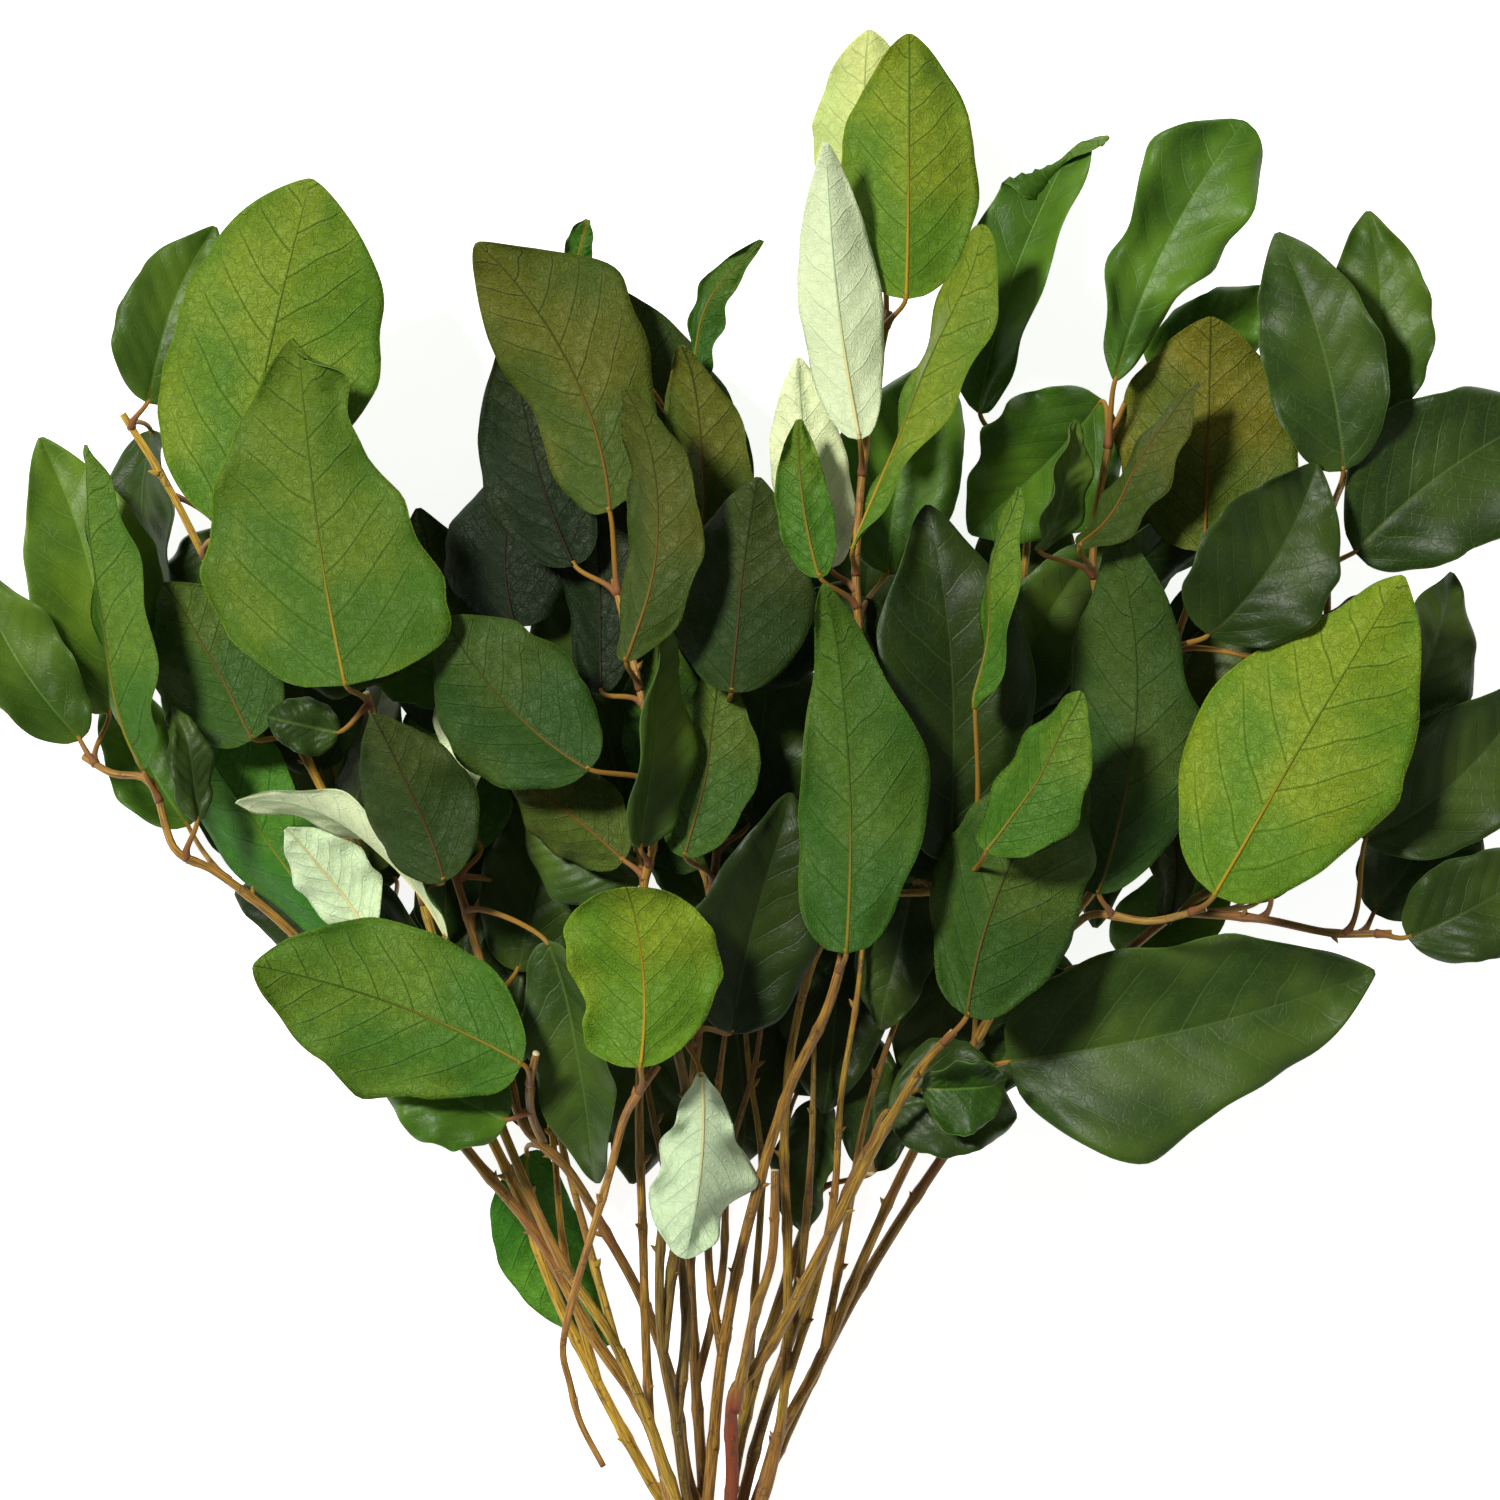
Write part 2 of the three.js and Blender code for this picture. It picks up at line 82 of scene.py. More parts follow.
SPUR_END = 0.7  # the radius of a bare side twig's tip
JOINT_SWELL = 0.22  # of a stem's radius, at each joint
JOINT_LENGTH = 2.4  # of that swelling, along the stem
FACET = 0.05  # of a stem's radius, in three soft sides
BUD_TURN = 2.4  # radians round the stem from each bud to the next
STATION = 5  # between the places on a stem where stalks can spring
FINE_STEPS = 12  # between two given points of a course
BAR_UV = 50  # mm along a bar for each whole step of its UV map
BLADE_UV = 100
RED_FADE = 12  # mm of a red foot's upper end, where it turns to the stem's own colour
RESTING = 0.3  # the least height of a blade's middle, where it lies on the surface
LOW_STEM = 8  # below this height a stem's buds all point sideways or up
LEFT, RIGHT = 1, -1  # the sides of a blade as seen from above, looking from its base to its tip
LOBE_SPREAD = 0.13  # of a swelling or hollow in a margin, as a share of the blade's length

# Colours as (upper face, underside), in linear light.
TONES = {
    "bright": ((0.085, 0.165, 0.014), (0.160, 0.248, 0.010)),
    "leafy": ((0.085, 0.165, 0.014), (0.118, 0.210, 0.010)),
    # A lighter copy of the bright tone, with painted light: for leaves painted as if they caught more
    # of the key light.
    "sunny": ((0.090, 0.180, 0.014), (0.176, 0.280, 0.010)),
    # A saturated green that is partly the leaf's own colour and partly a painted glow of light shining
    # through the blade.
    "vivid": ((0.060, 0.160, 0.014), (0.078, 0.250, 0.012)),
    "olive": ((0.050, 0.078, 0.009), (0.092, 0.116, 0.008)),
    "fresh": ((0.055, 0.135, 0.010), (0.076, 0.168, 0.010)),
    "mid": ((0.044, 0.094, 0.009), (0.056, 0.112, 0.009)),
    "dark": ((0.028, 0.056, 0.007), (0.044, 0.072, 0.007)),
    "gloss": ((0.046, 0.092, 0.012), (0.055, 0.100, 0.010)),
    # A pale underside brightened nearly to white: partly its own paler colour, partly a painted
    # highlight of a leaf in full light.
    "pale": ((0.160, 0.300, 0.080), (0.800, 0.900, 0.540)),
    "mint": ((0.160, 0.300, 0.100), (0.560, 0.740, 0.500)),
    # Painted highlight: an underside brightened nearly to white, as a leaf in full key light looks.
    "lit": ((0.110, 0.210, 0.020), (0.620, 0.700, 0.210)),
    # Painted shade: an almost black green for leaves that lie in deep shade inside the head.
    "deep": ((0.013, 0.028, 0.004), (0.014, 0.026, 0.004)),
    "brown": ((0.060, 0.070, 0.009), (0.116, 0.134, 0.008)),
}


# Blade outlines u ** a * (1 - u ** k) ** b, as (a, k, b): b near 1 draws the tip to a point.
FORMS = {
    "ovate": (0.50, 1.60, 0.92),
    "egg": (0.40, 1.35, 0.88),
    "broad": (0.48, 1.90, 0.82),
    "spoon": (0.80, 2.20, 0.62),
    "lance": (0.62, 1.20, 1.00),
    "round": (0.50, 1.60, 0.50),
}


def leaf(name, base, tip, width, roll, fold, cup, arch, bend, twist, tone="dark", ruffle=1.0,
         form="ovate", lobes=(), tucks=()):
    """One leaf's row. A lobe is (side, share of the length, mm outwards). A tuck rolls part of the
    blade over: (share of the length, mm to the left, slant to the left, angle up, radius in mm)."""
    return dict(name=name, base=base, tip=tip, width=width, roll=roll, fold=fold, cup=cup,
                arch=arch, bend=bend, twist=twist, tone=tone, ruffle=ruffle, form=form,
                lobes=lobes, tucks=tucks)


# ---- stems: each with its course, its forks and the leaves it bears -----------------------------
STEMS = [
    dict(
        name="stem_1", foot=2.4, end=1.1, bark=(0.240, 0.135, 0.030),
        path=[[-21, -118, 9], [-12, 0, 10.7], [-15, 20, 11], [-22, 42, 15], [-38, 67, 24],
              [-54, 97, 34], [-74, 122, 42], [-100, 156, 52], [-127, 190, 66], [-150, 209, 76],
              [-161, 215, 80], [-169, 236, 82], [-180, 238, 80], [-189, 243, 76]],
        twigs=[[[-20, 38, 14], [-21, 60, 28], [-22, 100, 44], [-23, 133, 54], [-22, 170, 70],
                [-21, 205, 84], [-18, 218, 90], [-17, 240, 94], [-22, 262, 94], [-30, 296, 86]]],
        leaves=[
            leaf("left_leaf_1", [-190, 248, 76], [-222, 300, 72], 31, 10, 22, 10, 4, 4, 0, "mid", 1.6),
            leaf("left_leaf_2", [-182, 256, 60], [-203, 339, 64], 42, 12, 10, 10, 5, -4, 0, "bright"),
            leaf("left_leaf_3", [-170, 239, 88], [-185, 336, 96], 38, 124, 18, 20, 4, 9, 15, "fresh",
                 1.0, "lance"),
            leaf("left_leaf_4", [-113, 190, 60], [-166, 268, 62], 38, 156, 8, 15, 5, 5, 0, "vivid",
                 lobes=[(RIGHT, 0.39, -4)]),
            leaf("middle_leaf_1", [-22, 216, 97], [-14, 284, 100], 34, 62, 10, 15, 3, 2, 15, "gloss"),
            leaf("middle_leaf_2", [-26, 271, 112], [-25, 352, 114], 29, 150, 18, 20, 4, -7, -10,
                 "olive", 1.2, "broad", tucks=[(0.5, 8, 84, 120, 3)]),
            leaf("middle_leaf_3", [-31, 316, 94], [-70, 396, 92], 46, 170, 10, 15, 6, -7, 0, "olive",
                 1.4, "broad", [(RIGHT, 0.74, 8), (LEFT, 0.45, -5)]),
            leaf("middle_leaf_4", [-37, 239, 106], [-80, 284, 98], 44, 172, 6, 8, 5, 5, 0, "mid", 1.2,
                 "broad"),
        ],
        inner=[
            leaf("", [-160, 222, 40], [-183, 268, 37], 28, 12, 8, 10, 3, 3, 0, "fresh"),
            leaf("", [-154, 224, 86], [-161, 258, 84], 15, 30, 8, 10, 3, 0, 0, "dark"),
            leaf("", [-104, 190, 70], [-128, 222, 72], 24, 165, 10, 10, 3, 0, 0, "mint", 1.2),
            leaf("", [-27, 212, 82], [-62, 239, 80], 30, 160, 8, 10, 3, 0, 0, "olive"),
            leaf("", [-22, 206, 64], [-58, 222, 60], 28, -20, 8, 10, 3, 2, 0, "gloss"),
            # These two inner leaves take the deep tone: painted shade.
            leaf("", [-42, 300, 80], [-62, 368, 76], 36, 165, 8, 10, 4, 3, 0, "deep"),
            leaf("", [-34, 262, 74], [-39, 338, 72], 27, 158, 10, 12, 4, 0, 0, "deep"),
            leaf("", [-26, 222, 51], [-48, 306, 45], 40, 8, 8, 10, 4, 0, 0, "dark", 1.6),
        ],
    ),
    dict(
        name="stem_2", foot=2.1, end=1.1, bark=(0.330, 0.210, 0.030),
        path=[[-17, -104, 2.2], [-9, 0, 5.4], [-20, 20, 5.5], [-36, 50, 8], [-50, 80, 13],
              [-60, 108, 20], [-80, 150, 32], [-98, 190, 42], [-120, 235, 46], [-143, 280, 54],
              [-165, 325, 62], [-178, 346, 66]],
        twigs=[],
        spurs=[[[-36, 50, 8], [-46, 90, 22], [-50, 130, 34], [-58, 165, 44]]],
        leaves=[
            leaf("left_leaf_5", [-170, 349, 72], [-150, 402, 72], 33, 14, 10, 10, 4, 4, 0, "mid"),
            leaf("left_leaf_6", [-143, 311, 90], [-120, 415, 92], 67, 176, 6, 10, 6, 2, 0, "leafy", 1.3,
                 "broad", [(RIGHT, 0.28, -4)]),
            leaf("left_leaf_7", [-138, 248, 80], [-165, 295, 76], 44, 165, 10, 12, 4, 0, 0, "mid", 1.4),
            leaf("rest_leaf_1", [-98, 205, 4.4], [-168, 262, 0.4], 52, 8, 4, 8, 3, 4, 0, "dark"),
        ],
        inner=[
            leaf("", [-171, 342, 43], [-170, 276, 42], 30, 40, 8, 10, 4, 0, 0, "dark"),
            leaf("", [-150, 312, 44], [-160, 276, 44], 26, 30, 8, 10, 3, 0, 0, "dark"),
        ],
    ),
    dict(
        name="stem_3", foot=2.0, end=1.1, bark=(0.280, 0.185, 0.032),
        path=[[-16, -112, 15], [-9, 0, 15.6], [-17, 30, 21], [-30, 63, 30], [-48, 92, 38],
              [-62, 124, 42], [-76, 160, 50], [-90, 205, 53], [-98, 240, 66], [-104, 262, 84]],
        twigs=[],
        spurs=[[[-30, 63, 30], [-39, 96, 32], [-49, 136, 40], [-52, 165, 46]]],
        leaves=[
            leaf("left_leaf_8", [-109, 264, 110], [-123, 368, 108], 70, 174, 7, 12, 7, 3, 0, "leafy",
                 1.6, "egg",
                 [(RIGHT, 0.68, -11), (RIGHT, 0.50, -7), (RIGHT, 0.12, 5), (LEFT, 0.12, -3)],
                 [(0.82, -9, -60, 150, 3)]),
            leaf("left_leaf_9", [-80, 189, 74], [-142, 231, 85], 30, 112, 12, 15, 5, -6, 45, "pale"),
        ],
        inner=[
            leaf("", [-80, 206, 99], [-101, 256, 102], 34, 168, 8, 10, 4, 0, 0, "dark"),
            leaf("", [-112, 250, 88], [-134, 255, 86], 18, 0, 8, 10, 2, 0, 0, "gloss"),
            leaf("", [-80, 250, 50], [-89, 318, 46], 38, 170, 8, 10, 4, 0, 0, "dark"),
        ],
    ),
    dict(
        name="stem_4", foot=2.0, end=1.1, bark=(0.190, 0.105, 0.028),
        path=[[1, -96, 8.5], [0.5, -30, 10.2], [0, 0, 10.7], [-8, 20, 10.5], [-13, 50, 15],
              [-22, 76, 25], [-33, 98, 40], [-45, 119, 54], [-58, 133, 62], [-64, 160, 60],
              [-74, 193, 60], [-80, 220, 62], [-70, 255, 66], [-62, 276, 68]],
        twigs=[[[-52, 127, 59], [-55, 136, 74], [-55, 146, 88], [-53, 155, 98]]],
        leaves=[
            leaf("low_leaf_1", [-57, 152, 98], [-137, 181, 92], 52, 178, 6, 10, 6, -3, 0, "fresh", 1.8,
                 "broad", [(LEFT, 0.50, 3), (RIGHT, 0.42, -4)]),
            leaf("low_leaf_2", [-58, 122, 19], [-33, 62, 4], 30, 176, 5, 10, 3, -7, 0, "vivid"),
            leaf("low_leaf_3", [-50, 188, 84], [-37, 113, 63], 28, 24, 12, 12, 5, 5, 0, "gloss", 1.4),
            # middle_leaf_5 takes the deep tone: painted shade.
            leaf("middle_leaf_5", [-60, 282, 65], [-56, 334, 62], 42, 165, 8, 12, 4, 6, 0, "deep"),
        ],
        inner=[
            leaf("", [-62, 134, 76], [-101, 150, 70], 34, 12, 8, 10, 3, 0, 0, "fresh"),
            leaf("", [-75, 228, 73], [-81, 272, 74], 14, 150, 8, 10, 3, 0, 0, "pale"),
            leaf("", [-70, 215, 60], [-88, 250, 56], 30, 168, 8, 10, 3, 0, 0, "fresh"),
            leaf("", [-60, 178, 46], [-48, 240, 43], 34, 6, 8, 10, 4, 0, 0, "dark", 1.6),
            leaf("", [-68, 205, 38], [-66, 264, 35], 32, 170, 8, 10, 4, 0, 0, "dark"),
            leaf("", [-56, 200, 39], [-62, 148, 34], 28, 6, 5, 8, 3, 0, 0, "dark"),
        ],
    ),
    dict(
        name="stem_5", foot=1.0, end=1.3, bark=(0.270, 0.150, 0.042),
        path=[[-34, 28, 44], [-41, 42, 48], [-44, 54, 52], [-46, 64, 56], [-42, 83, 62], [-36, 103, 68],
              [-31, 120, 74], [-27, 135, 82], [-22, 144, 92], [-17, 151, 90]],
        twigs=[],
        leaves=[
            leaf("low_leaf_4", [-22, 151, 106], [-26, 205, 110], 46, 180, 3, 8, 4, -3, 0, "sunny", 1.4,
                 "round", [(LEFT, 0.35, -3), (LEFT, 0.10, 3)]),
        ],
        inner=[],
    ),
    dict(
        name="stem_6", foot=1.9, end=1.4, bark=(0.135, 0.090, 0.026),
        path=[[-11, -125, 8], [-6, 0, 10.7], [-9.5, 20, 18], [-12, 40, 27], [-16, 62, 38],
              [-17, 85, 46], [-15, 116, 56]],
        twigs=[[[-16, 62, 38], [-14, 80, 42], [-10, 110, 54], [-8, 136, 64], [-12, 158, 74],
                [-17, 180, 78]]],
        spurs=[[[-12, 40, 27], [-9, 72, 30], [-14, 110, 38], [-20, 140, 44], [-24, 170, 48]]],
        leaves=[
            leaf("low_leaf_5", [-4, 149, 84], [-9, 93, 78], 30, 172, 26, 15, 4, 3, -30, "mint", 3.8,
                 "spoon", [(LEFT, 0.60, 8)]),
        ],
        inner=[
            leaf("", [-20, 176, 30], [-26, 112, 20], 32, 8, 8, 10, 4, 2, 0, "dark", 1.6),
        ],
    ),
    dict(
        name="stem_7", foot=2.0, end=1.1, bark=(0.150, 0.085, 0.024),
        path=[[-5, -107, 2.1], [-3, 0, 4.6], [-4, 20, 5], [-6, 50, 10], [-8, 95, 24], [-7, 140, 38],
              [-2, 190, 56], [2, 230, 70], [4, 262, 78], [2, 300, 76], [-4, 330, 72]],
        twigs=[],
        spurs=[[[-6, 50, 10], [2, 85, 26], [4, 120, 40], [12, 150, 46], [16, 180, 50]]],
        leaves=[
            # middle_leaf_6's dark tone is partly its own colour and partly painted shade;
            # middle_leaf_7's deep tone is painted shade.
            leaf("middle_leaf_6", [5, 262, 101], [13, 326, 98], 42, 168, 10, 12, 5, 2, 0, "dark"),
            leaf("middle_leaf_7", [5, 160, 74], [23, 232, 84], 42, 22, 10, 12, 5, 3, 0, "deep"),
            leaf("rest_leaf_2", [46, 268, 4.4], [60, 358, 0.4], 48, 6, 4, 8, 3, 5, 0, "dark"),
        ],
        inner=[
            leaf("", [-4, 296, 72], [-31, 384, 70], 44, 170, 8, 10, 4, -3, 0, "dark"),
            leaf("", [-6, 298, 78], [-9, 366, 86], 30, 160, 10, 12, 4, -3, 0, "olive"),
            leaf("", [-7, 350, 73], [14, 397, 84], 13, 150, 8, 20, 3, 8, 60, "fresh"),
            leaf("", [-9, 213, 87], [2, 272, 86], 32, 155, 10, 12, 4, 0, 0, "mid"),
            leaf("", [-43, 388, 72], [-38, 404, 72], 9, 170, 8, 10, 1, 0, 0, "fresh"),
            leaf("", [2, 182, 28], [8, 116, 16], 34, -8, 8, 10, 4, 2, 0, "dark", 1.6),
            leaf("", [10, 222, 60], [18, 290, 57], 32, 8, 8, 10, 4, 0, 0, "dark", 1.6),
            leaf("", [-13, 250, 42], [-20, 318, 37], 34, 8, 8, 10, 4, 0, 0, "dark", 1.4),
        ],
    ),
    dict(
        name="stem_8", foot=2.1, end=1.1, bark=(0.210, 0.115, 0.026),
        path=[[-4, -121, 14], [-3.5, 0, 16.4], [-1, 30, 20], [2, 60, 34], [9, 98, 54], [22, 143, 76],
              [33, 167, 92], [37, 180, 98], [42, 205, 92], [45, 240, 90], [43, 280, 90], [42, 300, 92],
              [46, 345, 86], [52, 376, 84]],
        twigs=[],
        spurs=[[[2, 60, 34], [-2, 90, 46], [-1, 120, 58], [2, 152, 64], [6, 178, 66]]],
        leaves=[
            leaf("middle_leaf_8", [39, 185, 112], [33, 294, 116], 37, 172, 8, 12, 6, -3, 0, "fresh",
                 2.4, "egg",
                 [(RIGHT,
                 0.55, 7), (RIGHT, 0.28, 3), (LEFT, 0.22, -3), (LEFT, 0.50, -3), (LEFT, 0.78, -3)]),
            leaf("top_leaf_1", [41, 304, 110], [82, 399, 108], 28, 122, 16, 15, 5, 5, 40, "bright", 1.2,
                 "spoon"),
            leaf("top_leaf_2", [43, 337, 104], [33, 425, 102], 27, 174, 18, 14, 4, 2, 0, "pale"),
            leaf("top_leaf_3", [57, 379, 94], [58, 458, 90], 45, 176, 16, 10, 5, 0, 0, "bright", 1.2,
                 "broad"),
            leaf("top_leaf_4", [50, 398, 76], [46, 461, 72], 34, 172, 8, 12, 3, 3, 0, "lit", 1.0,
                 "broad"),
            leaf("top_leaf_6", [52, 298, 58], [66, 363, 54], 42, 0, 8, 12, 4, 3, 0, "fresh"),
        ],
        inner=[
            leaf("", [31, 296, 104], [25, 343, 102], 17, 178, 6, 10, 3, 2, 0, "fresh"),
            leaf("", [34, 299, 89], [25, 362, 88], 24, 176, 8, 10, 3, 2, 0, "pale"),
            leaf("", [52, 262, 78], [38, 292, 80], 24, 20, 8, 10, 3, 0, 0, "dark"),
        ],
    ),
    dict(
        name="stem_9", foot=2.7, end=1.3, bark=(0.215, 0.130, 0.026), red_foot=172,
        path=[[4, -116, 15], [3, 0, 16.4], [5, 20, 20], [6, 50, 34], [12, 57, 38], [22, 74, 46],
              [34, 98, 58], [50, 130, 74], [63, 152, 86], [71, 161, 92]],
        twigs=[[[6, 44, 32], [9, 60, 44], [12, 75, 54], [17, 92, 62], [18, 119, 68]]],
        leaves=[
            leaf("right_leaf_1", [75, 166, 98], [107, 243, 114], 50, 166, 18, 12, 5, 7, 0, "mid", 1.6),
        ],
        inner=[],
    ),
    dict(
        name="stem_10", foot=1.9, end=1.1, bark=(0.230, 0.145, 0.024),
        path=[[13, -101, 14.5], [9, 0, 15.9], [16, 20, 18], [21, 50, 26], [22, 90, 36], [21, 128, 44],
              [24, 160, 52], [34, 190, 66], [50, 201, 72], [66, 203, 78], [77, 208, 82]],
        twigs=[],
        spurs=[[[21, 50, 26], [30, 80, 34], [36, 110, 44], [38, 140, 52], [43, 172, 58],
                [46, 206, 62]]],
        leaves=[
            leaf("right_leaf_2", [70, 212, 82], [63, 318, 92], 46, 12, 8, 12, 6, -3, 0, "dark", 1.6,
                 "broad"),
        ],
        inner=[
            leaf("", [80, 215, 122], [108, 262, 126], 34, 145, 16, 12, 4, 0, 0, "fresh"),
            leaf("", [77, 257, 112], [92, 322, 113], 24, 115, 10, 20, 4, 6, 30, "fresh"),
            leaf("", [60, 205, 56], [50, 160, 46], 26, 10, 8, 10, 3, 0, 0, "dark"),
            leaf("", [22, 186, 48], [0, 236, 44], 32, 8, 8, 10, 4, 0, 0, "dark", 1.4),
        ],
    ),
    dict(
        name="stem_11", foot=2.2, end=1.1, bark=(0.230, 0.135, 0.028),
        path=[[19, -112, 9], [12, 0, 10.7], [17, 28, 10.5], [33, 60, 13], [45, 89, 18], [58, 118, 26],
              [74, 148, 40], [92, 178, 60], [107, 192, 78], [113, 196, 84], [130, 194, 90],
              [146, 198, 94]],
        twigs=[[[92, 178, 60], [118, 210, 62], [124, 250, 68], [113, 300, 79], [118, 340, 84]],
               [[123, 240, 66.5], [132, 262, 75], [143, 292, 78]]],
        spurs=[[[33, 60, 13], [40, 100, 24], [46, 135, 36], [57, 168, 36], [70, 198, 42]]],
        leaves=[
            leaf("right_leaf_3", [114, 202, 92], [118, 312, 97], 44, 165, 12, 15, 6, -8, 0, "mid", 1.8,
                 lobes=[(LEFT, 0.62, 4), (RIGHT, 0.62, -6)]),
            leaf("right_leaf_4", [148, 202, 106], [204, 296, 112], 62, 167, 6, 10, 6, 2, 0, "sunny",
                 1.4, lobes=[(RIGHT, 0.50, 4), (LEFT, 0.80, -3)]),
            # right_leaf_5's dark tone is partly its own colour and partly painted shade.
            leaf("right_leaf_5", [147, 279, 92], [179, 330, 98], 45, 4, 10, 12, 5, -4, 0, "dark", 1.4),
            leaf("right_leaf_6", [146, 304, 86], [148, 374, 86], 56, 176, 6, 8, 3, 0, 0, "brown", 1.4,
                 "broad"),
            leaf("top_leaf_5", [119, 355, 92], [158, 432, 90], 36, 4, 10, 15, 5, 5, -15, "fresh", 2.8,
                 "spoon", [(RIGHT, 0.32, -4), (LEFT, 0.52, -4), (LEFT, 0.80, 3)]),
        ],
        inner=[
            leaf("", [108, 305, 103], [143, 354, 104], 24, 128, 12, 15, 4, 3, 0, "olive"),
            leaf("", [96, 304, 96], [107, 343, 98], 20, 50, 8, 10, 3, 0, 0, "gloss"),
            leaf("", [116, 350, 73], [77, 309, 66], 44, -12, 12, 10, 4, 0, 0, "fresh", 2.4),
            leaf("", [130, 361, 66], [168, 384, 66], 26, 0, 8, 10, 4, -3, 0, "fresh", 2.0),
            leaf("", [165, 272, 86], [205, 290, 84], 20, 30, 8, 10, 3, 0, 0, "dark"),
        ],
    ),
    dict(
        name="stem_12", foot=2.3, end=1.3, bark=(0.150, 0.100, 0.026),
        path=[[8, -124, 8.5], [6.6, -30, 10.2], [6, 0, 10.7], [12, 30, 12], [21, 60, 22], [34, 95, 36],
              [46, 124, 48], [62, 142, 48], [80, 149, 50]],
        twigs=[[[46, 124, 48], [47, 117, 52]]],
        spurs=[[[21, 60, 22], [26, 88, 30], [29, 120, 40], [30, 158, 48]]],
        leaves=[
            leaf("low_leaf_6", [52, 137, 64], [91, 135, 60], 38, -14, 8, 12, 4, 3, 0, "dark"),
            leaf("low_leaf_7", [88, 151, 58], [199, 178, 54], 60, 2, 10, 10, 7, -3, 0, "gloss", 1.6,
                 "egg", [(RIGHT, 0.27, 5), (RIGHT, 0.62, -4), (LEFT, 0.62, 2)]),
        ],
        inner=[
            leaf("", [62, 144, 78], [88, 146, 74], 30, 20, 25, 20, 3, 0, 0, "fresh"),
            leaf("", [74, 198, 30], [64, 128, 15], 30, 4, 3, 4, 3, 0, 0, "dark"),
        ],
    ),
    dict(
        name="stem_13", foot=2.2, end=1.1, bark=(0.200, 0.135, 0.026),
        path=[[3, -99, 2.3], [3, 0, 4.6], [9, 40, 5], [28, 100, 10], [50, 160, 18], [72, 215, 30],
              [88, 270, 46], [94, 310, 58], [90, 335, 64]],
        twigs=[],
        spurs=[[[9, 40, 5], [12, 80, 16], [14, 120, 28], [10, 150, 38], [8, 178, 44]]],
        leaves=[
            leaf("top_leaf_7", [79, 346, 72], [116, 440, 75], 33, -22, 24, 15, 4, 4, 10, "fresh", 1.8,
                 "ovate", [(RIGHT, 0.5, -2)], [(0.82, 0, 45, 150, 2.5)]),
            leaf("rest_leaf_3", [92, 232, 4.4], [170, 292, 0.4], 54, 8, 4, 8, 3, -4, 0, "dark"),
        ],
        inner=[
            leaf("", [32, 138, 17], [26, 97, 14], 22, 20, 14, 14, 3, 0, 0, "dark", 2.0),
            leaf("", [36, 190, 34], [33, 134, 27], 32, 6, 6, 8, 3, 2, 0, "dark", 1.2),
            leaf("", [88, 262, 39], [98, 332, 42], 34, 4, 6, 8, 3, 0, 0, "dark"),
            leaf("", [49, 116, 19], [48, 158, 24], 23, -6, 8, 8, 3, 0, 0, "dark"),
        ],
    ),
    dict(
        name="stem_14", foot=2.2, end=1.1, bark=(0.190, 0.115, 0.030),
        path=[[12, -108, 2.3], [9, 0, 5.6], [24, 40, 6], [50, 90, 10], [92, 150, 22], [140, 196, 40],
              [170, 214, 56], [188, 240, 62], [184, 280, 68], [184, 318, 72]],
        twigs=[[[140, 196, 40], [165, 194, 54], [186, 190, 66], [203, 190, 70]]],
        leaves=[
            leaf("right_leaf_7", [187, 328, 94], [167, 399, 94], 39, -6, 10, 12, 4, -4, 0, "gloss",
                 1.3),
            leaf("right_leaf_8", [196, 342, 80], [195, 406, 82], 36, -10, 10, 12, 4, -4, 0, "mid", 1.3),
            leaf("right_leaf_9", [191, 304, 84], [250, 346, 80], 52, 0, 8, 10, 5, 4, 0, "gloss", 1.3,
                 "broad"),
            leaf("right_leaf_10", [194, 218, 80], [246, 267, 76], 38, 10, 10, 12, 4, -5, 0, "dark"),
            leaf("right_leaf_11", [207, 189, 80], [249, 214, 78], 34, -8, 10, 12, 4, -3, 0, "dark"),
        ],
        inner=[
            leaf("", [200, 245, 74], [222, 298, 72], 34, 30, 8, 10, 4, 0, 0, "dark"),
            leaf("", [198, 196, 64], [226, 240, 60], 36, 14, 8, 10, 4, 0, 0, "dark", 1.4),
            leaf("", [106, 178, 38], [78, 138, 34], 26, 0, 8, 10, 3, 0, 0, "dark", 1.2),
        ],
    ),
]


# ---- courses and bars --------------------------------------------------------------------------

def place(point):
    """A point measured in mm from the waist, in the frame."""
    return Vector(point) * MM + WAIST


def hermite(a, b, lead, trail, t):
    t2, t3 = t * t, t * t * t
    return (a * (2 * t3 - 3 * t2 + 1) + lead * (t3 - 2 * t2 + t)
            + b * (3 * t2 - 2 * t3) + trail * (t3 - t2))


def run_lengths(points):
    total = [0.0]
    for p, q in zip(points, points[1:]):
        total.append(total[-1] + (q - p).length)
    return total


def smooth_course(points, spacing):
    """Evenly spaced points, about spacing apart, on a smooth curve through the given ones."""
    pts = [Vector(p) for p in points]
    chain = [pts[0] * 2 - pts[1], *pts, pts[-1] * 2 - pts[-2]]
    fine = []
    for before, a, b, after in zip(chain, chain[1:], chain[2:], chain[3:]):
        d0, d1, d2 = (math.sqrt((q - p).length) for p, q in ((before, a), (a, b), (b, after)))
        lead = ((a - before) / d0 - (b - before) / (d0 + d1) + (b - a) / d1) * d1
        trail = ((b - a) / d1 - (after - a) / (d1 + d2) + (after - b) / d2) * d1
        fine += [hermite(a, b, lead, trail, k / FINE_STEPS) for k in range(FINE_STEPS)]
    fine.append(pts[-1])
    lengths = run_lengths(fine)
    count = max(2, math.ceil(lengths[-1] / spacing))
    even, k = [], 0
    for i in range(count + 1):
        target = lengths[-1] * i / count
        while k < len(fine) - 2 and lengths[k + 1] < target:
            k += 1
        share = (target - lengths[k]) / max(1e-9, lengths[k + 1] - lengths[k])
        even.append(fine[k].lerp(fine[k + 1], min(1.0, share)))
    return even


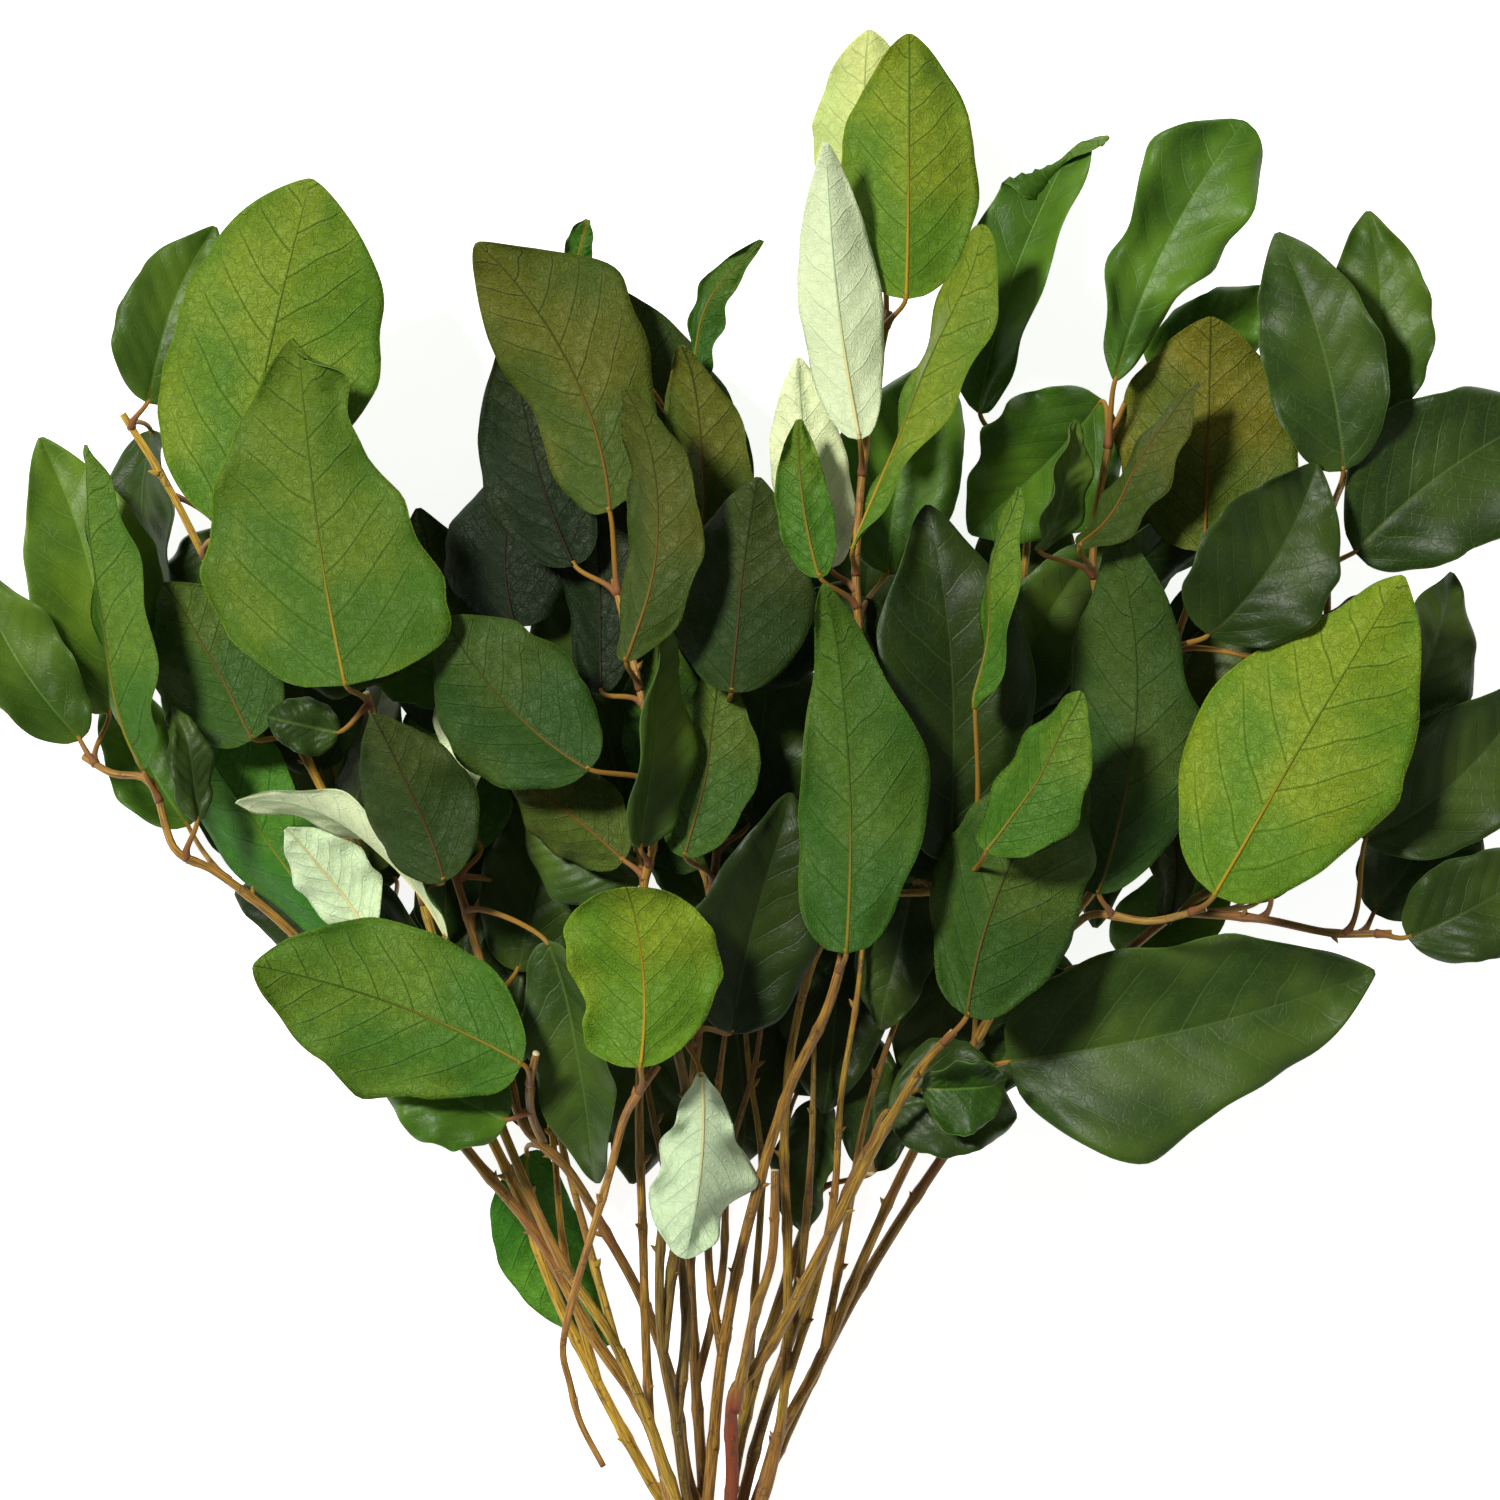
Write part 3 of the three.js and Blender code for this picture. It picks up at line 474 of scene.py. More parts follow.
def add_bar(bm, points, radius_at, sides, slot=0, cap_slot=None):
    """Rolls a grid into a closed bar along the points. radius_at takes the distance in mm."""
    steps = len(points) - 1
    grid = bmesh.ops.create_grid(bm, x_segments=sides, y_segments=steps, size=1)["verts"]
    faces = {f for v in grid for f in v.link_faces}
    lengths = run_lengths(points)
    uv = bm.loops.layers.uv.verify()
    tangents = [(points[min(i + 1, steps)] - points[max(i - 1, 0)]).normalized()
                for i in range(steps + 1)]
    normal = tangents[0].orthogonal().normalized()
    rings = []
    for tangent in tangents:
        normal = (normal - tangent * normal.dot(tangent)).normalized()
        rings.append((normal.copy(), tangent.cross(normal)))
    for face in faces:
        face.material_index = slot
        face.smooth = True
        for loop in face.loops:
            step = round((loop.vert.co.y + 1) / 2 * steps)
            loop[uv].uv = ((loop.vert.co.x + 1) / 2, lengths[step] / BAR_UV)
    for vert in grid:
        step = round((vert.co.y + 1) / 2 * steps)
        angle = (vert.co.x + 1) * math.pi
        across, away = rings[step]
        radius = radius_at(lengths[step], angle)
        spot = points[step] + (across * math.cos(angle) + away * math.sin(angle)) * radius
        spot.z = max(spot.z, 0.0)
        vert.co = place(spot)
    bmesh.ops.remove_doubles(bm, verts=grid, dist=1e-6)
    open_edges = [e for e in {e for f in faces if f.is_valid for e in f.edges} if e.is_boundary]
    caps = bmesh.ops.holes_fill(bm, edges=open_edges, sides=0)["faces"]
    for cap in caps:
        cap.material_index = slot if cap_slot is None else cap_slot
        for loop in cap.loops:
            loop[uv].uv = (0.5, 0.0)
    bmesh.ops.recalc_face_normals(bm, faces=[f for f in faces if f.is_valid] + caps)


# ---- blades ------------------------------------------------------------------------------------

def outline(u, form):
    """A blade's half-width, from 0 at its ends to 1 where it is widest."""
    a, k, b = FORMS[form]
    widest = (a / (a + k * b)) ** (1 / k)
    return (u / widest) ** a * (max(0.0, 1 - u ** k) / (1 - widest ** k)) ** b


class Blade:
    """The surface of one leaf, as a formula of u along the midrib and v across."""

    def __init__(self, spec, seed):
        self.spec, self.seed = spec, seed
        self.start = Vector(spec["base"])
        span = Vector(spec["tip"]) - self.start
        self.length = span.length
        self.along = span.normalized()
        level = (UP - self.along * UP.dot(self.along)).normalized()
        self.left = level.cross(self.along)
        roll = math.radians(spec["roll"])
        self.face = level * math.cos(roll) + self.along.cross(level) * math.sin(roll)
        self.fold = math.radians(spec["fold"])
        self.cup = math.radians(spec["cup"])
        self.twist = math.radians(spec["twist"])
        self.seen = 1 if abs(spec["roll"]) <= 90 else -1
        draw = random.Random(seed)
        self.phase = [draw.uniform(0, 2 * math.pi) for _ in range(4)]
        self.waves = draw.uniform(2.2, 3.8)
        self.rib_start = draw.uniform(0.02, 0.09)
        self.shade = draw.random()
        self.bow = draw.uniform(-1.8, 1.8)
        self.curl = draw.uniform(-0.6, 2.4)
        self.nod = draw.uniform(-2.0, 5.0)

    def rib(self, u, v, reach):
        """Runs through whole numbers at the side veins, which sweep towards the tip."""
        stray = noise.noise(Vector((u * 7, v * 2.5, self.seed * 1.9))) * min(1.0, abs(v) * 4)
        climb = reach * self.spec["width"] / 2 / self.length
        course = u - self.rib_start - climb * (RIB_SLANT + RIB_SWEEP * reach)
        return course / RIB_SPACING + RIB_STRAY * stray + (RIB_LAG if v < 0 else 0.0)

    def row(self, u):
        turn = self.twist * (u - 0.5)
        turned = self.face * math.cos(turn) + self.along.cross(self.face) * math.sin(turn)
        return turned, turned.cross(self.along)

    def rolled_over(self, point, at, to_left, slant, angle, radius):
        """Carries a point that lies beyond a slanting line round a roll of the given radius."""
        spec = self.spec
        side = self.face.cross(self.along) * self.seen
        hinge = (self.start + self.along * (self.length * at) + side * to_left
                 + self.face * (spec["arch"] * 4 * at * (1 - at)))
        slant, angle = math.radians(slant), math.radians(angle)
        ahead = self.along * math.cos(slant) + side * math.sin(slant)
        way = point - hinge
        beyond = way.dot(ahead)
        if beyond <= 0:
            return point
        normal = self.face * self.seen * math.copysign(1, angle)
        height = way.dot(normal)
        turn = min(beyond / radius, abs(angle))
        rest = beyond - radius * turn
        flat = way - ahead * beyond - normal * height
        return (hinge + flat + ahead * ((radius - height) * math.sin(turn) + rest * math.cos(turn))
                + normal * (radius - (radius - height) * math.cos(turn) + rest * math.sin(turn)))

    def point(self, u, v, row, skin):
        """The surface point in mm, with its reach across in mm and its place among the veins."""
        spec = self.spec
        turned, side = row
        hump = 4 * u * (1 - u)
        edge = abs(v)
        firm = min(1.0, 3 * hump)
        margin = Vector((u * 2.6, self.phase[0 if v > 0 else 1] * 3, self.seed * 2.3))
        scallop = math.sin(2 * math.pi * self.waves * 1.3 * u + self.phase[1 if v > 0 else 0])
        ragged = noise.noise(margin * 4.3)
        wobble = (1 + MARGIN_WANDER * noise.noise(margin) + MARGIN_RAGGED * ragged
                  + MARGIN_SCALLOP * spec["ruffle"] * scallop)
        half = BLADE_END + (spec["width"] / 2 - BLADE_END) * outline(u, spec["form"]) * wobble
        for lobe_side, at, push in spec["lobes"]:
            if lobe_side * self.seen * v > 0:
                half += push * math.exp(-((u - at) / LOBE_SPREAD) ** 2) * firm
        angle = self.fold + self.cup * edge / 2
        across = half * v * math.cos(angle)
        rise = half * edge * math.sin(angle) * firm
        reach = half * v
        rib = self.rib(u, v, abs(reach) / (spec["width"] / 2))
        wave = math.sin(2 * math.pi * self.waves * u + self.phase[2 if v > 0 else 3])
        rise += MARGIN_WAVE * spec["ruffle"] * edge ** 2.5 * wave * firm
        swell = math.cos(2 * math.pi * rib) * min(1.0, abs(reach) / 4) * (1 - edge ** 4)
        rise -= PILLOW * swell * firm
        rise -= GROOVE * math.exp(-(reach / 1.1) ** 2) * (1 - u)
        slow = noise.noise(Vector((u * 2.3, v * 1.2, self.seed * 3.7)))
        rise += SLOW_SWELL * slow * firm
        rise += self.bow * math.sin(2 * math.pi * u) * firm
        rise -= self.curl * max(0.0, edge - CURL_FROM) ** 2 * CURL * firm
        rise -= self.nod * max(0.0, u - NOD_FROM) ** 2 * NOD
        lift = self.fold + self.cup * edge
        sign = 1 if v > 0 else -1 if v < 0 else 0
        point = (self.start + self.along * (self.length * u)
                 + self.left * (spec["bend"] * hump) + self.face * (spec["arch"] * hump)
                 + side * (across - sign * math.sin(lift) * skin)
                 + turned * (rise + math.cos(lift) * skin))
        for tuck in spec["tucks"]:
            point = self.rolled_over(point, *tuck)
        point.z = max(point.z, RESTING + skin)
        return point, reach, rib


def add_blade(bm, blade, rows, columns):
    """Adds a thin closed blade: an upper and an under grid with their rims bridged."""
    grid = bmesh.ops.create_grid(bm, x_segments=rows, y_segments=columns, size=1)["verts"]
    upper = list({f for v in grid for f in v.link_faces})
    twin = bmesh.ops.duplicate(bm, geom=grid + upper)
    under = [g for g in twin["geom"] if isinstance(g, bmesh.types.BMFace)]
    bmesh.ops.reverse_faces(bm, faces=under)
    rib_layer = bm.verts.layers.float["rib"]
    rim_layer = bm.verts.layers.float["rim"]
    shade_layer = bm.verts.layers.float["shade"]
    uv = bm.loops.layers.uv.verify()
    frames = {}
    flat = {}
    for sheet, skin in ((upper, 0.5), (under, -0.5)):
        for vert in {v for f in sheet for v in f.verts}:
            even = (vert.co.x + 1) / 2
            u = (even + (1 - math.cos(math.pi * even)) / 2) / 2
            v = math.copysign(abs(vert.co.y) ** 1.35, vert.co.y) if vert.co.y else 0.0
            key = round(even * rows)
            if key not in frames:
                frames[key] = blade.row(u)
            thin = BLADE_THICKNESS * skin * (1 - 0.55 * abs(v) ** 3)
            point, reach, rib = blade.point(u, v, frames[key], thin)
            vert.co = place(point)
            vert[rib_layer] = rib
            vert[rim_layer] = abs(v)
            vert[shade_layer] = blade.shade
            flat[vert] = (u * blade.length / BLADE_UV, 0.5 + reach / BLADE_UV)
    rims = [e for f in upper + under for e in f.edges if e.is_boundary]
    edge = bmesh.ops.bridge_loops(bm, edges=list(set(rims)))["faces"]
    for face in upper + edge:
        face.material_index = 0
    for face in under:
        face.material_index = 1
    for face in upper + under + edge:
        face.smooth = True
        for loop in face.loops:
            loop[uv].uv = flat[loop.vert]


def add_midrib(bm, blade, rows):
    """A tapering rib under the blade, from the stalk nearly to the tip."""
    points = []
    for i in range(rows + 1):
        u = RIB_END * i / rows
        point, _, _ = blade.point(u, 0.0, blade.row(u), -BLADE_THICKNESS * 0.5)
        points.append(point)
    run = run_lengths(points)[-1]
    add_bar(bm, points, lambda s, a: RIB_RADIUS * (1 - s / run) ** 1.2 + RIB_TIP, 6, slot=2)


def nearest_behind(courses, blade):
    """The place on a stem where a stalk springs, with the way that the stem heads there."""
    target = blade.start - blade.along * STALK_REACH
    stations = []
    for course in courses:
        points = smooth_course(course, STATION)
        stations += [(p, (after - before).normalized())
                     for before, p, after in zip(points, points[1:], points[2:])]
    behind = [s for s in stations if (s[0] - blade.start).dot(blade.along) < -STALK_REACH / 3]
    return min(behind or stations, key=lambda s: (s[0] - target).length)


def stalk_course(blade, courses):
    """Leaves the stem forwards and swings round to run straight on into the midrib."""
    root, ahead = nearest_behind(courses, blade)
    end = blade.start + blade.along * STALK_OVERLAP - blade.face * STALK_UNDER
    gap = (end - root).length
    lead = (ahead + (end - root).normalized()) * gap * 0.5
    trail = blade.along * min(gap, STALK_SWING)
    steps = max(5, math.ceil(gap / 1.6))
    return [hermite(root, end, lead, trail, k / steps) for k in range(steps + 1)]


def add_stalk(bm, blade, courses):
    """The leaf's own stalk, from the middle of the stem to the foot of the midrib."""
    points = stalk_course(blade, courses)
    run = run_lengths(points)[-1]

    def radius(s, angle):
        return STALK_RADIUS * (1 - 0.25 * s / run + 0.55 * math.exp(-(s / 3.0) ** 2))

    add_bar(bm, points, radius, 8, slot=3)


def blade_layers(bm):
    for layer in ("rib", "rim", "shade"):
        bm.verts.layers.float.new(layer)


STANDING = []  # each finished piece as (lowest corner, highest corner, tree of its faces)
COVER = set()  # the cells of a level grid that some blade hides from above
COVER_CELL = 5
COVER_GRID = (24, 12)


def shaded_cells(blade):
    cells = set()
    rows, columns = COVER_GRID
    for i in range(rows + 1):
        row = blade.row(i / rows)
        for j in range(columns + 1):
            point, _, _ = blade.point(i / rows, 2 * j / columns - 1, row, 0)
            cells.add((math.floor(point.x / COVER_CELL), math.floor(point.y / COVER_CELL)))
    return cells


def keep_clear_of(bm):
    low = Vector([min(v.co[i] for v in bm.verts) for i in range(3)])
    high = Vector([max(v.co[i] for v in bm.verts) for i in range(3)])
    STANDING.append((low, high, BVHTree.FromBMesh(bm)))


def finish_piece(bm, name, materials):
    mesh = bpy.data.meshes.new(name)
    keep_clear_of(bm)
    bm.to_mesh(mesh)
    bm.free()
    for material in materials:
        mesh.materials.append(material)
    piece = bpy.data.objects.new(name, mesh)
    bpy.context.collection.objects.link(piece)
    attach(piece, "root")
    return piece


# ---- materials ---------------------------------------------------------------------------------
UPPER_GLOW = 0.10  # the share of light that comes through a blade seen on its upper face
UNDER_GLOW = 0.16

class Web:
    """A small helper that adds shader nodes to one material and links them."""

    def __init__(self, name):
        self.material = bpy.data.materials.new(name)
        self.material.use_nodes = True
        self.tree = self.material.node_tree
        self.tree.nodes.clear()
        self.output = self.tree.nodes.new("ShaderNodeOutputMaterial")

    def node(self, kind, settings=None, **inputs):
        made = self.tree.nodes.new("ShaderNode" + kind)
        for key, value in (settings or {}).items():
            setattr(made, key, value)
        for key, value in inputs.items():
            name = key.replace("_", " ")
            index = int(key[2:]) if key.startswith("in") and key[2:].isdigit() else name
            self.feed(made.inputs[index], value)
        return made

    def feed(self, socket, value):
        if isinstance(value, bpy.types.NodeSocket):
            self.tree.links.new(value, socket)
        elif value is not None:
            socket.default_value = value

    def maths(self, operation, a, b=0.0):
        return self.node("Math", {"operation": operation}, in0=a, in1=b).outputs[0]

    def times(self, a, b):
        return self.maths("MULTIPLY", a, b)

    def plus(self, a, b):
        return self.maths("ADD", a, b)

    def rest_of(self, value):
        return self.maths("SUBTRACT", 1.0, value)

    def between(self, value, low, high):
        """Low where the value is 0 and high where it is 1."""
        made = self.node("MapRange", Value=value)
        made.inputs["To Min"].default_value = low
        made.inputs["To Max"].default_value = high
        return made.outputs[0]

    def smooth(self, value, low, high):
        """0 below low and 1 above high, eased between."""
        made = self.node("MapRange", {"interpolation_type": "SMOOTHSTEP"}, Value=value)
        made.inputs["From Min"].default_value = low
        made.inputs["From Max"].default_value = high
        return made.outputs[0]

    def mix(self, factor, a, b, blend="MIX"):
        made = self.node("Mix", {"data_type": "RGBA", "blend_type": blend})
        self.feed(made.inputs["Factor"], factor)
        self.feed(made.inputs[6], a)
        self.feed(made.inputs[7], b)
        return made.outputs[2]

    def noise(self, vector, scale, detail=2.0, space="2D"):
        made = self.node("TexNoise", {"noise_dimensions": space}, Vector=vector, Scale=scale,
                         Detail=detail, Roughness=0.55)
        return made.outputs["Fac"]

    def cells(self, vector, scale, space="2D"):
        """The distance to the nearest wall of a net of irregular cells."""
        settings = {"feature": "DISTANCE_TO_EDGE", "voronoi_dimensions": space}
        made = self.node("TexVoronoi", settings, Vector=vector, Scale=scale)
        return made.outputs["Distance"]

    def attribute(self, name):
        return self.node("Attribute", {"attribute_name": name}).outputs["Fac"]

    def coats(self, base, *coats):
        """Lays colours over the base in turn, each as (mask, strength, colour)."""
        for mask, strength, colour in coats:
            base = self.mix(self.times(mask, strength), base, colour)
        return base

    def shader(self, colour, roughness, height, strength, distance, **fixed):
        bump = self.node("Bump", Height=height, Strength=strength, Distance=distance)
        made = self.node("BsdfPrincipled", Normal=bump.outputs[0])
        self.feed(made.inputs["Base Color"], colour)
        self.feed(made.inputs["Roughness"], roughness)
        for key, value in fixed.items():
            made.inputs[key.replace("_", " ")].default_value = value
        return made.outputs[0], bump.outputs[0]

    def lit_through(self, shader, colour, normal, share):
        """Lets a share of the light through a thin blade."""
        glow = self.node("BsdfTranslucent", Color=colour, Normal=normal)
        mixed = self.node("MixShader", Fac=share)
        self.feed(mixed.inputs[1], shader)
        self.feed(mixed.inputs[2], glow.outputs[0])
        return mixed.outputs[0]

    def finished(self, shader):
        self.feed(self.output.inputs[0], shader)
        return self.material


def rgba(colour):
    return (*colour, 1.0)


def mixed_colour(a, b, share):
    return [p + (q - p) * share for p, q in zip(a, b)]


def tinted(colour, factors, strength):
    """The colour with each channel scaled by its factor, as far as the strength says."""
    return rgba([c * (1 + (k - 1) * strength) for c, k in zip(colour, factors)])


def vein_masks(web):
    """The midrib's, side veins' and fine net's masks, from the blade's own coordinates."""
    flat = web.node("TexCoord").outputs["UV"]
    parts = web.node("SeparateXYZ", Vector=flat)
    u, v = parts.outputs[0], parts.outputs[1]
    off = web.maths("ABSOLUTE", web.maths("SUBTRACT", v, 0.5))
    thin = web.times(u, 0.005)
    midrib = web.rest_of(web.smooth(web.plus(off, thin), 0.003, 0.0080))
    rib = web.attribute("rib")
    whole = web.maths("ABSOLUTE", web.maths("SUBTRACT", web.maths("FRACT", web.plus(rib, 0.5)), 0.5))
    rim = web.attribute("rim")
    inner = web.rest_of(web.smooth(rim, 0.66, 0.95))
    side = web.times(web.rest_of(web.smooth(whole, 0.008, 0.045)), inner)
    # The band beside each side vein, where painted shade (upper face) and a painted highlight
    # (underside) are laid.
    painted_vein_relief = web.times(web.rest_of(web.smooth(whole, 0.05, 0.22)), inner)
    stray = web.node("VectorMath", {"operation": "SCALE"})
    web.feed(stray.inputs[0], web.node("TexNoise", {"noise_dimensions": "2D"}, Vector=flat, Scale=40.0,
                                       Detail=0.0).outputs["Color"])
    stray.inputs["Scale"].default_value = 0.035
    bent = web.node("VectorMath", {"operation": "ADD"}, in0=flat)
    web.feed(bent.inputs[1], stray.outputs[0])
    coarse = web.rest_of(web.smooth(web.cells(bent.outputs[0], 24.0), 0.0, 0.08))
    fine = web.rest_of(web.smooth(web.cells(bent.outputs[0], 80.0), 0.0, 0.18))
    return flat, u, midrib, side, painted_vein_relief, coarse, fine, rim


def leaf_to_leaf(web, base, dark, light):
    """Shifts one material a little darker or lighter from leaf to leaf."""
    shade = web.attribute("shade")
    base = web.mix(web.rest_of(web.smooth(shade, 0.0, 0.5)), base, rgba(dark), "MULTIPLY")
    return web.mix(web.smooth(shade, 0.5, 1.0), base, rgba(light), "MULTIPLY")


def upper_material(tone, colour):
    """The leathery upper face: dark, with paler sunken veins and a waxy gloss."""
    web = Web(f"salal_upper_{tone}")
    flat, _, midrib, side, painted_vein_relief, coarse, fine, rim = vein_masks(web)
    spread = web.noise(flat, 4.0)
    base = web.mix(web.smooth(spread, 0.3, 0.7), tinted(colour, (0.66, 0.72, 0.8), 1),
                   tinted(colour, (1.40, 1.28, 1.2), 1))
    vein = rgba([min(1, c * 2.3 + more) for c, more in zip(colour, (0.012, 0.016, 0.002))])
    base = leaf_to_leaf(web, base, (0.60, 0.62, 0.62), (1.45, 1.35, 1.1))
    # On the upper face the band beside each sunken side vein is darkened: painted shade in the grooves.
    base = web.coats(base, (fine, 0.08, vein), (coarse, 0.10, vein),
                     (painted_vein_relief, 0.14, tinted(colour, (0.4, 0.4, 0.4), 1)), (side, 0.20, vein),
                     (midrib, 0.40, rgba([min(1, c * 2.0 + 0.02) for c in colour])))
    # Painted highlight: the outermost margin is lightened, as if it caught the light.
    base = web.mix(web.smooth(rim, 0.975, 1.0), base, rgba([c * 1.6 + 0.01 for c in colour]))
    rough = web.between(web.noise(flat, 30.0), 0.36, 0.52)
    sunk = web.plus(web.times(side, -0.5), web.times(coarse, -0.26))
    height = web.plus(sunk, web.times(web.noise(flat, 90.0, 1.0), 0.30))
    shader, normal = web.shader(base, rough, height, 0.42, 0.0004, Specular_IOR_Level=0.22)
    return web.finished(web.lit_through(shader, base, normal, UPPER_GLOW))


def midrib_foot(colour):
    """The golden foot of a midrib, duller on a darker blade and nearly white on a pale one."""
    gold = min(1.0, colour[1] / 0.16)
    golden = [k * gold for k in (0.015 + 1.85 * colour[0], 0.004 + 0.80 * colour[1], 0.006)]
    return mixed_colour(golden, (0.60, 0.56, 0.26), min(1.0, colour[2] / 0.3))


def under_material(tone, colour):
    """The matt underside: yellow-green with a darker net of veins and a brown-orange midrib."""
    web = Web(f"salal_under_{tone}")
    flat, u, midrib, side, painted_vein_relief, coarse, fine, rim = vein_masks(web)
    green = 1 - min(1.0, colour[2] / 0.3)
    spread = web.noise(flat, 3.2)
    base = web.mix(web.smooth(spread, 0.28, 0.72), tinted(colour, (0.62, 0.86, 1.1), green),
                   tinted(colour, (1.34, 1.16, 1.6), green))
    base = leaf_to_leaf(web, base, (0.72, 0.76, 0.80), (1.25, 1.15, 1.0))
    vein = tinted(colour, (0.30, 0.46, 0.50), 0.25 + 0.75 * green)
    mottle = web.smooth(web.noise(flat, 30.0), 0.52, 0.70)
    # The lighter tint serves both the leaf's own mottling and the painted highlight beside the veins.
    fleck_and_glint = tinted((1, 1, 1), (1.45, 1.32, 1.9), green)
    base = web.mix(web.times(mottle, 0.45), base, fleck_and_glint, "MULTIPLY")
    # The band beside each raised side vein is lightened: a painted highlight along the veins.
    base = web.mix(web.times(painted_vein_relief, 0.30), base, fleck_and_glint, "MULTIPLY")
    base = web.coats(base, (fine, 0.34, vein), (coarse, 0.32, vein), (side, 0.70, vein))
    stalk = web.mix(web.smooth(u, 0.25, 0.60), rgba(midrib_foot(colour)), vein)
    base = web.mix(midrib, base, stalk)
    # Painted highlight: the outermost margin is lightened, as if it caught the light.
    base = web.mix(web.smooth(rim, 0.975, 1.0), base, rgba([c * 1.3 for c in colour]))
    rough = web.between(web.noise(flat, 40.0), 0.46, 0.64)
    raised = web.plus(web.times(side, 0.9), web.times(coarse, 0.40))
    raised = web.plus(raised, web.times(fine, 0.40))
    height = web.plus(raised, web.times(web.noise(flat, 120.0, 1.0), 0.45))
    shader, normal = web.shader(base, rough, height, 0.6, 0.0004, Specular_IOR_Level=0.20)
    return web.finished(web.lit_through(shader, base, normal, UNDER_GLOW))


def rod_material(name, foot, top, fade, patches, roughness, gloss):
    """A thin rod that changes colour along its length over fade, two places in steps of BAR_UV.
    Patches and gloss are (noise scale, strength, colour) and (bump scale, strength, specular)."""
    web = Web(name)
    flat = web.node("TexCoord").outputs["UV"]
    along = web.node("SeparateXYZ", Vector=flat).outputs[1]
    base = web.mix(web.smooth(along, *fade), rgba(foot), rgba(top))
    base = web.coats(base, (web.noise(flat, patches[0]), patches[1], rgba(patches[2])))
    rough = web.between(web.noise(flat, roughness[0]), *roughness[1:])
    shader, _ = web.shader(base, rough, web.noise(flat, gloss[0]), gloss[1], 0.0002,
                           Specular_IOR_Level=gloss[2])
    return web.finished(shader)


def rib_material(tone, colour):
    """The raised midrib: orange-brown at its foot, and the dark green of the veins further up."""
    foot = midrib_foot(colour)
    green = [c * k for c, k in zip(colour, (0.30, 0.45, 0.45))]
    return rod_material(f"midrib_{tone}", foot, green, (0.25, 1.15),
                        (9.0, 0.2, [c * 1.5 for c in foot]), (14.0, 0.40, 0.60), (40.0, 0.3, 0.12))


def stalk_material():
    """Young stalk bark: orange-yellow flushed with pink at its joint with the stem."""
    return rod_material("leaf_stalk", (0.24, 0.085, 0.040), (0.33, 0.170, 0.020), (0.0, 0.3),
                        (12.0, 0.5, (0.14, 0.090, 0.018)), (20.0, 0.38, 0.58), (50.0, 0.35, 0.2))


def bark_material(name, colour, red_foot):
    """Smooth young bark with long streaks, small pores and a redder flush. A stem may be red up to
    red_foot, in mm from its cut end."""
    web = Web(f"bark_{name}")
    flat = web.node("TexCoord").outputs["UV"]
    solid = web.node("TexCoord").outputs["Object"]
    stretched = web.node("Mapping", Vector=flat)
    stretched.inputs["Scale"].default_value = (7.0, 1.3, 1.0)
    streak = web.noise(stretched.outputs[0], 4.0, 5.0)
    base = web.mix(web.smooth(streak, 0.32, 0.68), tinted(colour, (0.55, 0.52, 0.55), 1),
                   tinted(colour, (2.00, 1.90, 1.3), 1))
    if red_foot:
        above = web.node("SeparateXYZ", Vector=solid).outputs[1]
        red_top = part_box(name)[0][1] + red_foot * MM
        red = web.mix(streak, rgba((0.12, 0.026, 0.010)), rgba((0.36, 0.082, 0.032)))
        base = web.mix(web.smooth(above, red_top - RED_FADE * MM, red_top), red, base)
    flush = web.smooth(web.noise(solid, 22.0, space="3D"), 0.52, 0.70)
    base = web.mix(web.times(flush, 0.45), base, rgba((0.22, 0.065, 0.030)))
    pores = web.rest_of(web.smooth(web.cells(solid, 420.0, "3D"), 0.05, 0.16))
    patchy = web.times(pores, web.smooth(web.noise(solid, 150.0, space="3D"), 0.55, 0.65))
    base = web.mix(web.times(patchy, 0.6), base, rgba((0.09, 0.055, 0.03)))
    rough = web.between(streak, 0.42, 0.66)
    height = web.plus(web.times(streak, 0.8), web.times(patchy, 0.6))
    shader, _ = web.shader(base, rough, height, 0.5, 0.0003, Specular_IOR_Level=0.3)
    return web.finished(shader)


def cut_wood_material():
    """The fresh cut across a stem's end: pale wood with a fine mottled grain."""
    web = Web("cut_wood")
    solid = web.node("TexCoord").outputs["Object"]
    grain = web.noise(solid, 900.0, 4.0, space="3D")
    base = web.mix(grain, rgba((0.52, 0.42, 0.22)), rgba((0.68, 0.60, 0.38)))
    rough = web.plus(web.times(grain, 0.2), 0.6)
    shader, _ = web.shader(base, rough, grain, 0.4, 0.0002)
    return web.finished(shader)


def rubber_material():
    """Natural tan rubber with a faint bloom and fine stretch lines."""
    web = Web("tan_rubber")
    flat = web.node("TexCoord").outputs["UV"]
    solid = web.node("TexCoord").outputs["Object"]
    bloom = web.noise(solid, 180.0, space="3D")
    base = web.mix(web.smooth(bloom, 0.3, 0.7), rgba((0.50, 0.33, 0.15)), rgba((0.62, 0.45, 0.24)))
    lines = web.node("Mapping", Vector=flat)
    lines.inputs["Scale"].default_value = (2.0, 60.0, 1.0)
    stretch = web.noise(lines.outputs[0], 3.0)
    rough = web.plus(web.times(bloom, 0.25), 0.45)
    shader, _ = web.shader(base, rough, stretch, 0.35, 0.0002)
    return web.finished(shader)


def floor_material():
    web = Web("studio_paper")
    solid = web.node("TexCoord").outputs["Object"]
    base = web.mix(web.noise(solid, 40.0, space="3D"), rgba((0.90, 0.90, 0.90)),
                   rgba((0.93, 0.93, 0.93)))
    shader, _ = web.shader(base, 0.85, web.noise(solid, 900.0, space="3D"), 0.05, 0.0002)
    # The paper glows with its own light, which washes out the shadows cast on it: painted light.
    shader.node.inputs["Emission Color"].default_value = (1.0, 1.0, 1.0, 1.0)
    shader.node.inputs["Emission Strength"].default_value = 0.85
    return web.finished(shader)


